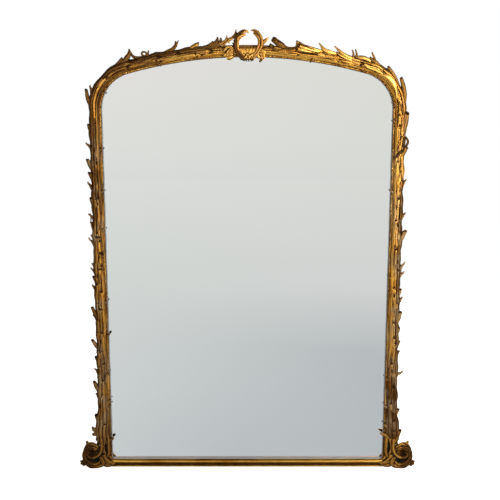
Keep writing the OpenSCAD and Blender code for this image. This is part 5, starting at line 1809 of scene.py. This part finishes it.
# %% [markdown]
# Uprights and level members only differ in the way the grain runs. No two backboards came from
# the same plank, so each has a tone of its own.

# %% Pine on the carcass and the boards
LIGHT_PINE, DARK_PINE = (0.42, 0.235, 0.098), (0.215, 0.098, 0.034)
LIGHT_BOARD, DARK_BOARD = (0.33, 0.185, 0.082), (0.16, 0.075, 0.029)
BOARD_TONES = (0.95, 0.78, 1.05, 0.88, 0.70, 0.98, 0.82, 0.90)


def refinish(finish, *names):
    for name in names:
        mesh = nodes[name].data
        mesh.materials.clear()
        mesh.materials.append(finish)


refinish(wood("pine_upright", (22, 22, 2.2), LIGHT_PINE, DARK_PINE, "X", gesso_at_the_glass),
         "left_stile", "right_stile", "glazing_blocks")
refinish(wood("pine_level", (2.2, 22, 22), LIGHT_PINE, DARK_PINE, "Z", gesso_at_the_glass),
         "bottom_rail", "crown_rail", "left_haunch", "right_haunch", "lap_dowels")
refinish(wood("pine_blocks", (14, 14, 3), (0.34, 0.19, 0.08), (0.17, 0.08, 0.03), "X", black_shade_front),
         "left_foot_block", "right_foot_block")
for n, tone in enumerate(BOARD_TONES, 1):
    light, dark = ([c * tone for c in colour] for colour in (LIGHT_BOARD, DARK_BOARD))
    refinish(wood("board_%d" % n, (1.5, 16, 13), light, dark, "Z", gesso_at_the_glass), "backboard_%d" % n)
print("wood on", 10 + len(BOARD_TONES), "nodes")

# %% [markdown]
# ## Steel and brass
# Brads, screws and straps are dull steel with brown rust in the corners. The rings are brass that
# has tarnished nearly brown and is bright only where the wire has rubbed it.

# %% Metal
def metal(name, clean, stained, rough):
    iron = Finish(bpy.data.materials.new(name))
    at = iron.place()
    stain = iron.noise(at, 160, 5, 0.65)
    speck = iron.noise(at, 1400, 3, 0.6)
    scratch = iron.noise(iron.place((900, 60, 60)), 1, 3)
    rust = (stain + (1 - iron.open_sky(0.004)) * 0.5).within(0.45, 0.72)
    return iron.principled(
        Base_Color=iron.mix(rust * 0.85, clean, stained), Metallic=1 - rust * 0.55,
        Roughness=rough + speck * 0.15 + rust * 0.3,
        Normal=iron.bump(stain * 0.6 + speck * 0.3 + scratch * 0.3, 0.0002, 0.5))


refinish(metal("steel", (0.21, 0.20, 0.19), (0.085, 0.040, 0.020), 0.42),
         "backboard_brads", "left_hanger_strap", "right_hanger_strap", "hanger_screws")
refinish(metal("brass", (0.46, 0.30, 0.10), (0.11, 0.062, 0.022), 0.32),
         "left_hanger_ring", "right_hanger_ring")
print("steel on 4 nodes, brass on 2")

# %% [markdown]
# ## Glass
# The plate is old silvering: a plain mirror with a breath of grey, and not quite even.

# %% Glass
glass = Finish(bpy.data.materials.new("mirror"))
refinish(glass.principled(
    Base_Color=(0.955, 0.96, 0.96), Metallic=1.0,
    Roughness=0.012 + glass.noise(glass.place(), 3, 2) * 0.01), "mirror_plate")
print("glass:", len(glass.tree.nodes), "nodes")
